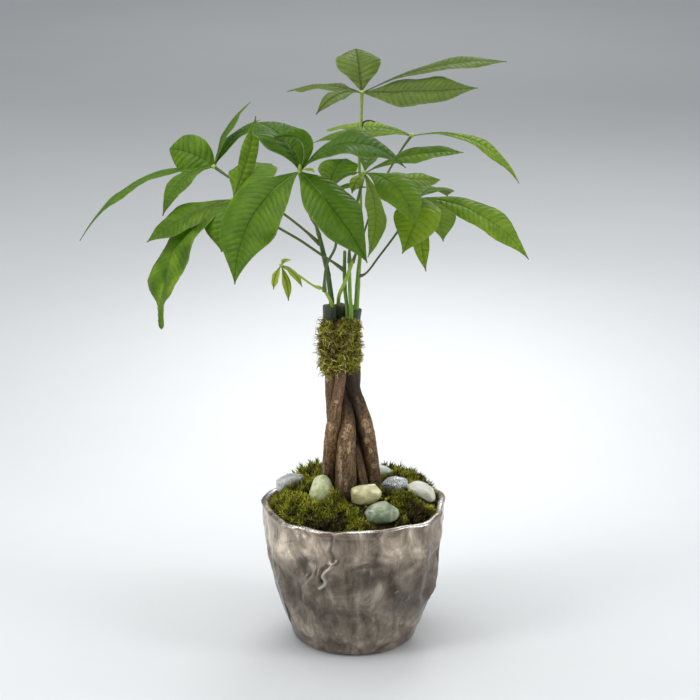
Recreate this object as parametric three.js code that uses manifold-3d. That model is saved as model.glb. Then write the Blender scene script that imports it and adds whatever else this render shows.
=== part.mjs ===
import * as THREE from 'three';
import Module from 'manifold-3d';

const wasm = await Module();
wasm.setup();

// Driving dimensions in millimetres: X right, Y away, Z up, origin under the middle of the pot
const RIM_RADIUS = 75;
const POT_HEIGHT = 119;
const BASE_RADIUS = 47;
const FLOOR_TOP = 9;
const SOIL_TOP = 103;
const MOSS_RISE = 16;
const MOSS_EDGE = 117;
const BLADE_THICKNESS = 0.9;
const GAP = 0.3;
const POT_SIDES = 44;
const BED_SIDES = 25;

// Outline of the pot's outside, radius and height
const POT_PROFILE = [
  [BASE_RADIUS, 0], [51.5, 3.5], [54.6, 11], [58.6, 20], [61.8, 29], [64.6, 38], [66.6, 47], [68.4, 56],
  [70, 64], [71.2, 72], [72.2, 80], [73.4, 88], [74.4, 96], [75, 104], [RIM_RADIUS, 112],
];

// Inside of the pot, radius and height
const POT_INSIDE = [[68.5, 112], [63.5, 64], [54.5, 24], [46, FLOOR_TOP]];

// Height of the uneven rim by degrees round the pot
const RIM_HEIGHTS = [
  [-180, 119.6], [-160, 120.4], [-146, 119.6], [-139, 117.9], [-122, 118.2], [-104.5, 117.8],
  [-97, 119.7], [-84, 120.6], [-70, 120.3], [-57, 120.0], [-45, 118.3], [-27, 119.2], [-15, 119.3],
  [0, 120.3], [30, 119.0], [60, 120.2], [90, 118.8], [120, 120.0], [150, 118.9], [180, 119.6],
];

// Hand-pressed folds: from and to in degrees round the pot and height, width and depth
const POT_FOLDS = [
  { from: [-104.5, 119], to: [-103.5, 92], width: 9, depth: -1.8 },
  { from: [-103.5, 91], to: [-112, 80], width: 7, depth: 2.4 },
  { from: [-112, 80], to: [-115, 68], width: 7, depth: 2.2 },
  { from: [-141.5, 116], to: [-149, 81], width: 17, depth: 1.8 },
  { from: [-149, 81], to: [-150, 50], width: 17, depth: 2.0 },
  { from: [-150, 50], to: [-138, 20], width: 15, depth: 1.4 },
  { from: [-126, 92], to: [-121, 81], width: 11, depth: -3.0 },
  { from: [-118, 79], to: [-129, 48], width: 10, depth: 2.0 },
  { from: [-137, 66], to: [-133, 50], width: 12, depth: -2.8 },
  { from: [-88, 80], to: [-72, 70], width: 22, depth: -3.0 },
  { from: [-100, 88], to: [-78, 97], width: 9, depth: 1.2 },
  { from: [-66, 100], to: [-68, 62], width: 13, depth: 1.7 },
  { from: [-52, 112], to: [-50, 40], width: 16, depth: -1.5 },
  { from: [-38, 116], to: [-36, 30], width: 15, depth: 1.5 },
  { from: [-28, 104], to: [-27, 50], width: 10, depth: -1.7 },
  { from: [-20, 116], to: [-16, 47], width: 13, depth: 1.9 },
  { from: [-92, 52], to: [-93, 8], width: 18, depth: 1.3 },
  { from: [-128, 38], to: [-112, 22], width: 18, depth: -1.8 },
  { from: [-62, 44], to: [-44, 20], width: 18, depth: -1.8 },
  { from: [-4, 104], to: [2, 70], width: 12, depth: -2.0 },
  { from: [14, 112], to: [10, 40], width: 14, depth: 1.8 },
  { from: [24, 84], to: [34, 60], width: 14, depth: -2.6 },
  { from: [44, 116], to: [40, 56], width: 13, depth: 1.7 },
  { from: [54, 100], to: [64, 72], width: 14, depth: -2.4 },
  { from: [76, 114], to: [70, 52], width: 15, depth: 1.8 },
  { from: [88, 90], to: [100, 70], width: 17, depth: -2.8 },
  { from: [108, 116], to: [112, 60], width: 14, depth: 1.6 },
  { from: [126, 96], to: [122, 60], width: 15, depth: -2.2 },
  { from: [140, 112], to: [144, 44], width: 15, depth: 1.8 },
  { from: [158, 96], to: [166, 66], width: 15, depth: -2.4 },
  { from: [176, 116], to: [178, 46], width: 13, depth: 1.6 },
  { from: [-168, 100], to: [-166, 66], width: 13, depth: -1.8 },
  { from: [24, 40], to: [46, 24], width: 17, depth: -1.6 },
  { from: [84, 44], to: [104, 26], width: 17, depth: 1.4 },
  { from: [150, 38], to: [174, 26], width: 16, depth: -1.6 },
];

// Woven trunks from the buried end to the cut top, each point with its radius
const TRUNKS = {
  trunk_front_left: {
    line: [[-21, 0, 78], [-21, -0.5, 112], [-21.4, -2, 139], [-20.8, -5, 157], [-19.6, -8, 169],
      [-18.6, -9.2, 182], [-16.8, -9.6, 195], [-14.9, -9.6, 206], [-12.9, -9.6, 218], [-10.6, -9.8, 237],
      [-6.8, -10.6, 260], [-3.6, -9.8, 281]],
    radii: [5.8, 6.1, 5.8, 5.9, 5.9, 5.9, 5.6, 4.9, 4.5, 4.6, 4.8, 5.2],
  },
  trunk_front_right: {
    line: [[17, 2, 76], [17, 2, 112], [16.6, 2, 136], [15, 1.4, 148], [12.8, 0.6, 163], [10.8, -0.4, 178],
      [8.4, -0.6, 189], [4.6, 0.2, 202], [1.2, 1.4, 213], [-2.2, 2.6, 227], [-4.4, 3.4, 242],
      [-1.4, 3.6, 264], [1.2, 3, 286]],
    radii: [6.2, 6.4, 6.4, 6.7, 6.9, 6.9, 6.7, 6.0, 5.6, 5.6, 5.2, 4.9, 4.9],
  },
  trunk_front_centre: {
    line: [[-6, -14, 72], [-6, -14, 108], [-6.4, -14, 133], [-7, -13, 149], [-6.8, -11.5, 167],
      [-6, -9, 182], [-6.2, -4, 196], [-7.2, 3, 210], [-9.4, 12.5, 231], [-10.6, 11, 262],
      [-11.4, 8.5, 288]],
    radii: [7.4, 9.0, 9.4, 8.9, 8.1, 7.4, 6.2, 5.2, 4.9, 4.8, 4.7],
  },
  trunk_back_right: {
    line: [[8, -7, 80], [8, -7.4, 112], [7.4, -7.6, 134], [4.6, -6, 149], [1.4, -2, 165], [-1.4, 6, 183],
      [-1.2, 13, 203], [0.8, 13.2, 226], [-0.6, 11.4, 252], [-0.8, 11.4, 286]],
    radii: [4.6, 4.9, 4.9, 4.9, 4.9, 5.0, 4.8, 4.7, 4.4, 4.4],
  },
  trunk_back_left: {
    line: [[-12, 17, 82], [-12, 16, 112], [-12.4, 14.5, 136], [-16.4, 13, 169], [-19.3, 8.5, 203],
      [-19.9, 5, 229], [-20.6, 2.6, 260], [-20.3, 1.4, 289]],
    radii: [5.0, 5.4, 5.4, 5.0, 4.5, 4.5, 5.0, 5.7],
  },
};

// Green shoots that stand in the cut tops
const SHOOTS = {
  shoot_left: {
    line: [[-18.2, 2.6, 281], [-18.6, 2.4, 292], [-21.2, 1, 314], [-25, 0.4, 333], [-28.8, 0, 350]],
    radii: [2.0, 2.2, 2.1, 2.0, 1.6],
    trunk: 'trunk_back_left',
  },
  shoot_left_young: {
    line: [[-18.4, -0.9, 281], [-18.3, -1.9, 291], [-21.5, -8, 300], [-25.2, -10, 306], [-28.4, -11, 308]],
    radii: [1.3, 1.4, 1.3, 1.3, 1.1],
    trunk: 'trunk_back_left',
  },
  shoot_back: {
    line: [[-12, 7.6, 280], [-13, 6.2, 291], [-12.2, -1, 299], [-9.8, -8.5, 307], [-5.6, -13, 318],
      [-1.2, -12, 331]],
    radii: [1.5, 1.6, 1.5, 1.5, 1.5, 1.4],
    trunk: 'trunk_front_centre',
  },
  shoot_centre: {
    line: [[-5.4, -8.4, 273], [-5.8, -7.8, 288], [-7.6, -5, 306], [-8, -2, 320], [-7.8, 1, 336]],
    radii: [1.6, 1.6, 1.5, 1.5, 1.3],
    trunk: 'trunk_front_left',
  },
  shoot_front: {
    line: [[-2.4, -11.2, 273], [-2.6, -11, 288], [-3.6, -7, 304], [-3.8, -4, 318], [-3.8, -3.4, 330]],
    radii: [1.6, 1.6, 1.5, 1.4, 1.3],
    trunk: 'trunk_front_left',
  },
  shoot_right: {
    line: [[1.4, 2.6, 277], [1.8, 1.8, 289], [3.2, 1.6, 314], [4.6, 3, 331], [5.2, 5, 378], [4, 5, 412],
      [5.2, 5, 436]],
    radii: [2.1, 2.2, 1.9, 1.5, 1.1, 1.1, 1.2],
    trunk: 'trunk_front_right',
  },
};

// Dried curl beside the highest leaf
const CURL = {
  line: [[4.8, 5, 434], [7.5, 4.6, 441], [12, 4.6, 442.4], [17, 5, 441]],
  radii: [1.0, 0.8, 0.6, 0.5],
};

// Hand-shaped leaves: leaf stalk, then leaflets by tip offset from the hub, width, arch, sway,
// roll in degrees, belly (over 1.2 the widest place lies nearer the tip), point (small ones are
// blunt) and drip (how far the last fifth draws in)
const LEAVES = {
  leaf_top: {
    colour: 0x3f6b22, seat: 'shoot_right',
    stalk: [[5.2, 5, 433], [5.8, 5, 450], [6, 5, 465]],
    leaflets: [
      { tip: [-61, 41, -7], width: 34, arch: 4 },
      { tip: [-36, -44, -9], width: 15, arch: 7, roll: -12 },
      { tip: [-5, 42, 28], width: 37, arch: 4, belly: 1.5, point: 0.75 },
      { tip: [116, 10, 23], width: 28, arch: 8, roll: 8, belly: 1.9 },
      { tip: [91, -29, 9], width: 44, arch: -1, roll: 22, belly: 1 },
    ],
  },
  leaf_far_left: {
    colour: 0x3d6a20, seat: 'shoot_left',
    stalk: [[-27.6, 0.6, 341], [-40, 3, 352], [-57, 10, 364], [-84, 22, 380], [-104, 31, 391],
      [-115, 35, 398]],
    leaflets: [
      { tip: [-112, 2, -63], width: 33, arch: 18, roll: 0 },
      { tip: [-40, -35, -33], width: 20, arch: 12, roll: -10 },
      { tip: [-37, 12, 12], width: 33, arch: 3, roll: -60, belly: 1.2, point: 0.6 },
      { tip: [29, 34, 47], width: 24, arch: 6, roll: -34 },
      { tip: [36, 44, 30], width: 26, arch: 6, roll: -20 },
    ],
  },
  leaf_left: {
    colour: 0x47752a, seat: 'shoot_centre',
    stalk: [[-8, -2.6, 320], [-18, -4.6, 328], [-28, -6, 335], [-44, -5, 346], [-63, -3, 357],
      [-84, 0, 371], [-98, 0, 379]],
    leaflets: [
      { tip: [-69, -16, -32], width: 38, arch: 4, roll: -16 },
      { tip: [-57, -40, -98], width: 52, arch: 20, sway: 7, roll: 10, belly: 1.4, point: 0.5, drip: 0.62 },
      { tip: [18, 30, 62], width: 15, arch: -5, roll: 50 },
      { tip: [30, 50, 18], width: 42, arch: 8 },
      { tip: [-8, -32, -36], width: 34, arch: 8 },
    ],
  },
  leaf_front: {
    colour: 0x4d8029, seat: 'shoot_left',
    stalk: [[-28.6, -0.4, 349], [-31, -6, 358], [-35, -16, 368], [-40, -36, 392], [-43, -55, 414]],
    leaflets: [
      { tip: [-50, -35, -82], width: 54, arch: 15, roll: -20, belly: 1, sway: 3 },
      { tip: [53, -30, -66], width: 46, arch: 6, sway: 3, roll: 22, belly: 0.9 },
      { tip: [83, -2, 3], width: 44, arch: 21, roll: 14 },
      { tip: [-36, 33, 32], width: 51, arch: 10 },
      { tip: [-23, 4, 25], width: 18, arch: 17, roll: -76, belly: 0.95 },
      { tip: [12, -12, 2], width: 9, arch: 2 },
    ],
  },
  leaf_centre: {
    colour: 0x4a7b28, seat: 'shoot_front',
    stalk: [[-3.8, -3.4, 327], [-4, -6, 338], [-1, -12, 364], [4, -18, 388], [8, -20, 405]],
    leaflets: [
      { tip: [78, -12, 19], width: 30, arch: 6, roll: 12, belly: 1.4 },
      { tip: [41, -44, -33], width: 36, arch: 12, roll: 10 },
      { tip: [-10, -20, -12], width: 12, arch: 3 },
      { tip: [-22, 8, -7], width: 13, arch: 2, roll: 20 },
      { tip: [3, 10, -72], width: 30, arch: 4, sway: 7, roll: 42, belly: 0.95 },
      { tip: [7, 30, 6], width: 14, arch: 5 },
      { tip: [61, 20, -10], width: 26, arch: -2, roll: 14, belly: 1.8, point: 0.8 },
    ],
  },
  leaf_right_high: {
    colour: 0x538a2a, seat: 'shoot_back', girth: 0.85,
    stalk: [[-1.4, -12, 329], [2.2, -7, 338], [6, -2.5, 346], [14, 8, 368], [25, 22, 391], [38, 36, 411],
      [47, 40, 423]],
    leaflets: [
      { tip: [-81, 8, -8], width: 32, arch: 6, roll: -4, belly: 1.1 },
      { tip: [88, -10, -38], width: 26, arch: 17, roll: 8, belly: 1.7 },
      { tip: [-70, 52, -6], width: 38, arch: 5, belly: 1.7, point: 0.7 },
    ],
  },
  leaf_right_low: {
    colour: 0x4f8630, seat: 'shoot_right', girth: 0.9,
    stalk: [[3.6, 1.6, 314], [9, 0.4, 316.5], [21, 1, 332], [35, 3, 351], [43, 4, 365], [52, 5, 379]],
    leaflets: [
      { tip: [88, -30, -44], width: 36, arch: 13, roll: 16 },
      { tip: [-14, -50, -34], width: 39, arch: 14, sway: -8 },
      { tip: [6, -18, -57], width: 15, arch: 3, sway: 3 },
      { tip: [22, 42, -47], width: 34, arch: 10 },
      { tip: [25, 40, -8], width: 32, arch: 7 },
    ],
  },
  leaf_young: {
    colour: 0x86a53a, seat: 'shoot_left_young',
    stalk: [[-28, -11, 307.6], [-33, -13, 310], [-44, -17, 319], [-50, -19, 323], [-59, -20, 329]],
    leaflets: [
      { tip: [7, 14, 1], width: 8, arch: 2 },
      { tip: [17, -8, -16], width: 11, arch: 3 },
      { tip: [6, -10, -27], width: 8, arch: 3 },
      { tip: [-6, -5, -19], width: 9, arch: 2 },
      { tip: [10, 10, -11], width: 9, arch: 2 },
    ],
  },
  leaf_rear: {
    colour: 0x3b6524, seat: 'shoot_left_young',
    stalk: [[-24.2, -9.6, 304.5], [-24, -12, 316], [-22, -12, 328], [-15, -9, 343], [-18, 0, 366],
      [-21, 5, 384]],
    leaflets: [
      { tip: [15, 42, 18], width: 34, arch: 6 },
      { tip: [33, 12, 0], width: 16, arch: 3 },
      { tip: [8, 10, -37], width: 24, arch: 5 },
      { tip: [-14, 34, 3], width: 18, arch: 4 },
    ],
  },
};

// Pebbles pressed into the moss: middle, half sizes, turn in degrees and narrowing upward
const STONES = {
  stone_lavender: { at: [-56, 24, 127.4], half: [13.4, 8, 6], turn: [10, -14, 20] },
  stone_jade: { at: [-27.4, -14, 134.6], half: [10.4, 6.4, 12.8], turn: [-8, 4, 0], taper: 0.2 },
  stone_olive: { at: [9.4, -26, 135.4], half: [13.4, 8.5, 9.2], turn: [0, -12, 0] },
  stone_blue_green: { at: [22.6, -42, 124.8], half: [14, 10, 9.2], turn: [0, -4, 12], taper: 0.16 },
  stone_blue_grey: { at: [34, 6, 132.6], half: [12.4, 8, 6], turn: [0, 2, 0] },
  stone_cream: { at: [57, 2, 127.6], half: [13.4, 8.5, 7], turn: [0, 28, 0] },
  stone_pale_green: { at: [23.4, 38, 132.4], half: [9, 7, 5.4], turn: [0, 0, 0] },
};
const STONE_COLOURS = {
  stone_lavender: 0xb9b6bd,
  stone_jade: 0xa9c3a0,
  stone_olive: 0x8b9449,
  stone_blue_green: 0x6f9a90,
  stone_blue_grey: 0x94a3ad,
  stone_cream: 0xd8cf9f,
  stone_pale_green: 0xb4c4a2,
};

const vector = (list) => new THREE.Vector3(...list);
const radians = THREE.MathUtils.degToRad;

// Value at x on straight lines through [x, value] points
function between(points, x) {
  if (x <= points[0][0]) return points[0][1];
  for (let i = 1; i < points.length; i++) {
    const [x0, y0] = points[i - 1];
    const [x1, y1] = points[i];
    if (x <= x1) return y0 + (y1 - y0) * (x - x0) / (x1 - x0);
  }
  return points[points.length - 1][1];
}

function toSolid(points, faces) {
  const geometry = new THREE.BufferGeometry().setFromPoints(points);
  geometry.setIndex(faces);
  const mesh = new wasm.Mesh({
    numProp: 3,
    vertProperties: new Float32Array(geometry.attributes.position.array),
    triVerts: new Uint32Array(geometry.index.array),
  });
  return new wasm.Manifold(mesh);
}

// Closed skin through rings of points that run anticlockwise about the way forward
function skin(rings) {
  const sides = rings[0].length;
  const points = rings.flat();
  const faces = [];
  for (let i = 0; i + 1 < rings.length; i++) {
    for (let j = 0; j < sides; j++) {
      const a = i * sides + j;
      const b = i * sides + (j + 1) % sides;
      faces.push(a, b, b + sides, a, b + sides, a + sides);
    }
  }
  const ends = [rings[0], rings[rings.length - 1]];
  ends.forEach((ring, end) => {
    const first = end * (rings.length - 1) * sides;
    const middle = ring.reduce((sum, p) => sum.add(p), new THREE.Vector3()).divideScalar(sides);
    points.push(middle);
    for (let j = 0; j < sides; j++) {
      const a = first + j;
      const b = first + (j + 1) % sides;
      faces.push(points.length - 1, end ? a : b, end ? b : a);
    }
  });
  return toSolid(points, faces);
}

// Round limb along a smooth line, with a radius at each of its points
function limb(line, radii, { steps, sides, grow = 0, gnarl = 0 }) {
  const curve = new THREE.CatmullRomCurve3(line.map(vector), false, 'centripetal');
  const across = new THREE.Vector3(0.3, 1, 0.1);
  const rings = [];
  for (let i = 0; i <= steps; i++) {
    const along = i / steps;
    const middle = curve.getPoint(along);
    const forward = curve.getTangent(along).normalize();
    across.addScaledVector(forward, -across.dot(forward)).normalize();
    const up = new THREE.Vector3().crossVectors(forward, across);
    const radius = between(radii.map((r, k) => [k / (radii.length - 1), r]), along) + grow;
    if (i === 0) middle.addScaledVector(forward, -grow);
    if (i === steps) middle.addScaledVector(forward, grow);
    const ring = [];
    for (let j = 0; j < sides; j++) {
      const angle = 2 * Math.PI * j / sides;
      const bump = 1 + gnarl * Math.sin(2 * angle + 9 * along) * Math.cos(3 * angle - 14 * along);
      ring.push(middle.clone()
        .addScaledVector(across, radius * bump * Math.cos(angle))
        .addScaledVector(up, radius * bump * Math.sin(angle)));
    }
    rings.push(ring);
  }
  return skin(rings);
}

// Pebble: a squarish ball, pressed and turned
function pebble({ at, half, turn = [0, 0, 0], taper = 0 }, { grow = 0, rings = 4, sides = 9 } = {}) {
  const rotation = new THREE.Euler(...turn.map(radians));
  const loops = [];
  for (let i = 0; i <= rings; i++) {
    const tilt = Math.PI * (0.06 + 0.88 * i / rings) - Math.PI / 2;
    const loop = [];
    for (let j = 0; j < sides; j++) {
      const angle = 2 * Math.PI * j / sides;
      const lump = 1 + 0.05 * Math.sin(2 * angle + half[0]) + 0.04 * Math.cos(3 * angle + half[2]);
      const flat = Math.cos(tilt) ** 0.8 * lump * (1 - taper * Math.sin(tilt));
      loop.push(new THREE.Vector3(
        (half[0] + grow) * flat * Math.cos(angle),
        (half[1] + grow) * flat * Math.sin(angle),
        (half[2] + grow) * Math.sin(tilt),
      ).applyEuler(rotation).add(vector(at)));
    }
    loops.push(loop);
  }
  return skin(loops);
}

// Share of a leaflet's half width at a place along it: wedge foot, broad middle, long drip tip
function bladeShare(along, { belly = 1.2, point = 1.1, drip = 0 }) {
  const tail = 1 - drip * THREE.MathUtils.smoothstep(along, 0.78, 0.87);
  return Math.max(0, Math.sin(Math.PI * along ** belly)) ** point * (1 - 0.35 * along ** 8) * tail;
}

// One leaflet: an arched, folded and waved plate from the hub to its tip
function leaflet(hub, blade) {
  const { tip, width, arch = 0, sway = 0, roll = 0, drip = 0 } = blade;
  const chord = vector(tip);
  const length = chord.length();
  const flatSide = new THREE.Vector3(chord.y, -chord.x, 0).normalize();
  const lift = new THREE.Vector3().crossVectors(flatSide, chord).normalize();
  const side = flatSide.clone().applyAxisAngle(chord.clone().normalize(), radians(roll));
  const rows = drip ? 10 : length > 75 ? 7 : length > 38 ? 6 : 3;
  const columns = length > 38 ? 4 : 2;
  const foot = 1.2 / Math.hypot(length, 4 * arch);
  const wave = 0.035 * width;
  const phase = 0.37 * chord.x + 0.21 * chord.z;
  const top = [];
  const bottom = [];
  for (let i = 0; i <= rows; i++) {
    const along = foot + (1 - foot) * i / rows;
    const bow = 4 * along * (1 - along);
    const slope = 4 * (1 - 2 * along);
    const middle = vector(hub).addScaledVector(chord, along)
      .addScaledVector(lift, arch * bow).addScaledVector(flatSide, sway * bow);
    const forward = chord.clone()
      .addScaledVector(lift, arch * slope).addScaledVector(flatSide, sway * slope).normalize();
    const across = side.clone().addScaledVector(forward, -side.dot(forward)).normalize();
    const normal = new THREE.Vector3().crossVectors(across, forward);
    const share = bladeShare(along, blade);
    const least = drip && along > 0.5 ? 5 : 0.5;
    const half = Math.max(least, 0.5 * width * share);
    for (let j = 0; j <= columns; j++) {
      const out = 2 * j / columns - 1;
      const fold = half * (0.3 * Math.abs(out) - 0.34 * out * out);
      const turn = 15 * along + phase + (out > 0 ? 1.3 : 0);
      const ripple = wave * share * Math.sin(turn) * out * out;
      const point = middle.clone()
        .addScaledVector(across, half * out).addScaledVector(normal, fold + ripple);
      top.push(point.clone().addScaledVector(normal, BLADE_THICKNESS / 2));
      bottom.push(point.addScaledVector(normal, -BLADE_THICKNESS / 2));
    }
  }
  return plate(top, bottom, rows, columns);
}

// Closed plate between two grids of points, both faces split alike
function plate(top, bottom, rows, columns) {
  const across = columns + 1;
  const under = top.length;
  const faces = [];
  const quad = (a, b, c, d) => faces.push(a, b, c, a, c, d);
  for (let i = 0; i < rows; i++) {
    for (let j = 0; j < columns; j++) {
      const a = i * across + j;
      const c = a + across + 1;
      const low = a + under;
      const lowC = c + under;
      faces.push(a, a + 1, c, a, c, a + across);
      faces.push(low, lowC, low + 1, low, low + across, lowC);
    }
    const left = i * across;
    const right = left + columns;
    quad(left, left + across, left + across + under, left + under);
    quad(right + across, right, right + under, right + across + under);
  }
  const last = rows * across;
  for (let j = 0; j < columns; j++) {
    quad(j + 1, j, j + under, j + 1 + under);
    quad(last + j, last + j + 1, last + j + 1 + under, last + j + under);
  }
  return toSolid([...top, ...bottom], faces);
}

// Height of one fold of the pot at a place on its outside
function foldAt(fold, degrees, height) {
  const arc = (a) => ((a - degrees + 540) % 360 - 180) * Math.PI / 180 * 68;
  const start = new THREE.Vector2(arc(fold.from[0]), fold.from[1] - height);
  const way = new THREE.Vector2(arc(fold.to[0]), fold.to[1] - height).sub(start);
  const along = THREE.MathUtils.clamp(-start.dot(way) / way.lengthSq(), 0, 1);
  const distance = start.addScaledVector(way, along).length();
  return fold.depth * Math.max(0, 1 - Math.hypot(distance, 1.2) / fold.width);
}

function potRadius(radius, degrees, height) {
  const turn = radians(degrees);
  const rise = THREE.MathUtils.smoothstep(height, 3, 22);
  const waves = 0.55 * Math.sin(5 * turn + 1 + height / 30) + 0.4 * Math.sin(9 * turn - height / 22);
  const folds = POT_FOLDS.reduce((sum, fold) => sum + foldAt(fold, degrees, height), 0);
  return radius + rise * (waves + folds);
}

function ringAt(radiusAt, heightAt, sides = POT_SIDES) {
  const ring = [];
  for (let j = 0; j < sides; j++) {
    const degrees = 360 * j / sides;
    const radius = radiusAt(degrees);
    const x = radius * Math.cos(radians(degrees));
    const y = radius * Math.sin(radians(degrees));
    ring.push(new THREE.Vector3(x, y, heightAt(degrees)));
  }
  return ring;
}

const innerWall = (height) => between(POT_INSIDE.map(([radius, z]) => [z, radius]).reverse(), height);

function makePot() {
  const dip = (degrees) => between(RIM_HEIGHTS, ((degrees + 540) % 360) - 180) - POT_HEIGHT;
  const outside = (radius, height, heightAt) => ringAt((d) => potRadius(radius, d, height), heightAt);
  const rings = POT_PROFILE.map(([radius, height]) => outside(radius, height, () => height));
  const lip = [[RIM_RADIUS + 0.4, 116], [RIM_RADIUS - 0.6, POT_HEIGHT - 0.8], [RIM_RADIUS - 3, POT_HEIGHT]];
  lip.forEach(([radius, height]) => rings.push(outside(radius, height, (d) => height + dip(d))));
  rings.push(ringAt(() => innerWall(112) + 0.8, (d) => POT_HEIGHT - 1.6 + dip(d)));
  POT_INSIDE.forEach(([radius, height]) => rings.push(ringAt(() => radius, () => height)));
  return skin(rings);
}

function makeSoil() {
  const heights = [FLOOR_TOP + GAP, 24, 64, SOIL_TOP];
  return skin(heights.map((height) => ringAt(() => innerWall(height) - GAP, () => height, BED_SIDES)));
}

// Height of the moss bed: low at the front edge, high and steep-sided round the back
function mossHeight(x, y) {
  const share = Math.hypot(x, y) / 68;
  const steep = 2.4 + 4.6 * THREE.MathUtils.smoothstep(y, -50, 10);
  const tufts = 0.9 * Math.sin(x / 4.1 + 1) * Math.cos(y / 4.7) + 0.7 * Math.sin(x / 7.3 - y / 5.9);
  return MOSS_EDGE + MOSS_RISE * (1 - Math.min(1, share) ** steep) + tufts;
}

function makeMossBed() {
  const edge = innerWall(110) - GAP;
  const wallRing = (height) => ringAt(() => innerWall(height) - GAP, () => height, BED_SIDES);
  const rings = [wallRing(SOIL_TOP + GAP), wallRing(110)];
  [0.96, 0.84, 0.66, 0.46, 0.24].forEach((share) => {
    const ring = ringAt(() => edge * share, () => 0, BED_SIDES);
    ring.forEach((point) => { point.z = mossHeight(point.x, point.y); });
    rings.push(ring);
  });
  return skin(rings);
}

// Moss tied round the cut tops of the trunks, hanging lowest at the left
function makeMossCollar() {
  const shape = [[233, 12], [237, 16], [245, 18], [254, 18], [265, 17.4], [273, 16.4], [277, 13.5]];
  const rings = shape.map(([height, radius]) => {
    const wide = (d) => 1.1 * Math.sin(radians(5 * d) + height / 6);
    const narrow = (d) => 0.7 * Math.cos(radians(8 * d) - height / 5);
    const hang = 4 - 4 * THREE.MathUtils.smoothstep(height, 233, 262);
    const rise = (d) => height + 1.2 * Math.sin(radians(3 * d + 40)) + hang * Math.sin(radians(4 * d + 30));
    const ring = ringAt((d) => radius + wide(d) + narrow(d), rise, 18);
    return ring.map((point) => new THREE.Vector3(point.x - 11, point.y * 1.13 + 1, point.z));
  });
  return skin(rings);
}

// The largest body left after cutting
function mainBody(solid) {
  return solid.decompose().reduce((best, body) => (body.volume() > best.volume() ? body : best));
}

function leafBody({ stalk, leaflets, girth = 1.1 }, grow = 0) {
  const hub = stalk[stalk.length - 1];
  const small = leaflets.every(({ width }) => width < 15);
  const radii = stalk.map(() => (small ? 0.9 : girth));
  radii[0] += 0.9;
  radii[radii.length - 1] += 0.4;
  const knob = small ? 1.8 : 2.6;
  let body = limb(stalk, radii, { steps: stalk.length + 1, sides: 6, grow });
  body = body.add(pebble({ at: hub, half: [knob, knob, knob * 0.8] }, { rings: 3, sides: 7, grow }));
  leaflets.forEach((blade) => { body = body.add(leaflet(hub, blade)); });
  return body;
}

function meshOf(name, solid, look) {
  const { vertProperties, triVerts } = solid.getMesh();
  const geometry = new THREE.BufferGeometry();
  geometry.setAttribute('position', new THREE.Float32BufferAttribute(vertProperties, 3));
  geometry.setIndex([...triVerts]);
  geometry.computeVertexNormals();
  const mesh = new THREE.Mesh(geometry, new THREE.MeshStandardMaterial(look));
  mesh.name = name;
  return mesh;
}

const parts = new Map();
const trunkLook = { color: 0x6b5640, roughness: 0.8, metalness: 0 };
const shootLook = { color: 0x5d8a35, roughness: 0.5, metalness: 0 };

function trunk(name, grow) {
  const { line, radii } = TRUNKS[name];
  return limb(line, radii, { steps: 13, sides: 9, grow, gnarl: 0.05 });
}

function shoot(name, grow) {
  const { line, radii } = SHOOTS[name];
  const stem = limb(line, radii, { steps: line.length + 3, sides: 6, grow });
  const curl = limb(CURL.line, CURL.radii, { steps: 4, sides: 5, grow });
  return name === 'shoot_right' ? stem.add(curl) : stem;
}

let soil = makeSoil();
let moss = makeMossBed();
let collar = makeMossCollar();

// Each trunk stands in plain holes and gives way to the ones it is pressed against
const placed = [];
for (const name of Object.keys(TRUNKS)) {
  let body = trunk(name, 0);
  placed.forEach((other) => { body = body.subtract(other); });
  for (const [stem, { trunk: foot }] of Object.entries(SHOOTS)) {
    if (foot === name) body = body.subtract(shoot(stem, GAP));
  }
  const room = trunk(name, GAP);
  placed.push(room);
  soil = soil.subtract(room);
  moss = moss.subtract(room);
  collar = collar.subtract(room);
  parts.set(name, [mainBody(body), trunkLook]);
}

for (const [name, stone] of Object.entries(STONES)) {
  moss = moss.subtract(pebble(stone, { grow: GAP }));
  parts.set(name, [pebble(stone), { color: STONE_COLOURS[name], roughness: 0.35, metalness: 0 }]);
}

for (const name of Object.keys(SHOOTS)) parts.set(name, [shoot(name, 0), shootLook]);

for (const [name, leaf] of Object.entries(LEAVES)) {
  const body = leafBody(leaf).subtract(shoot(leaf.seat, GAP));
  parts.set(name, [mainBody(body), { color: leaf.colour, roughness: 0.45, metalness: 0 }]);
}

parts.set('pot', [makePot(), { color: 0x4b443f, roughness: 0.28, metalness: 0.6 }]);
parts.set('soil', [mainBody(soil), { color: 0x3a2c20, roughness: 0.95, metalness: 0 }]);
parts.set('moss_bed', [mainBody(moss), { color: 0x6d7030, roughness: 0.95, metalness: 0 }]);
parts.set('moss_collar', [mainBody(collar), { color: 0x757738, roughness: 0.95, metalness: 0 }]);

const plant = new THREE.Group();
for (const [name, [solid, look]] of parts) plant.add(meshOf(name, solid, look));
export default plant;
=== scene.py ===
import math

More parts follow.
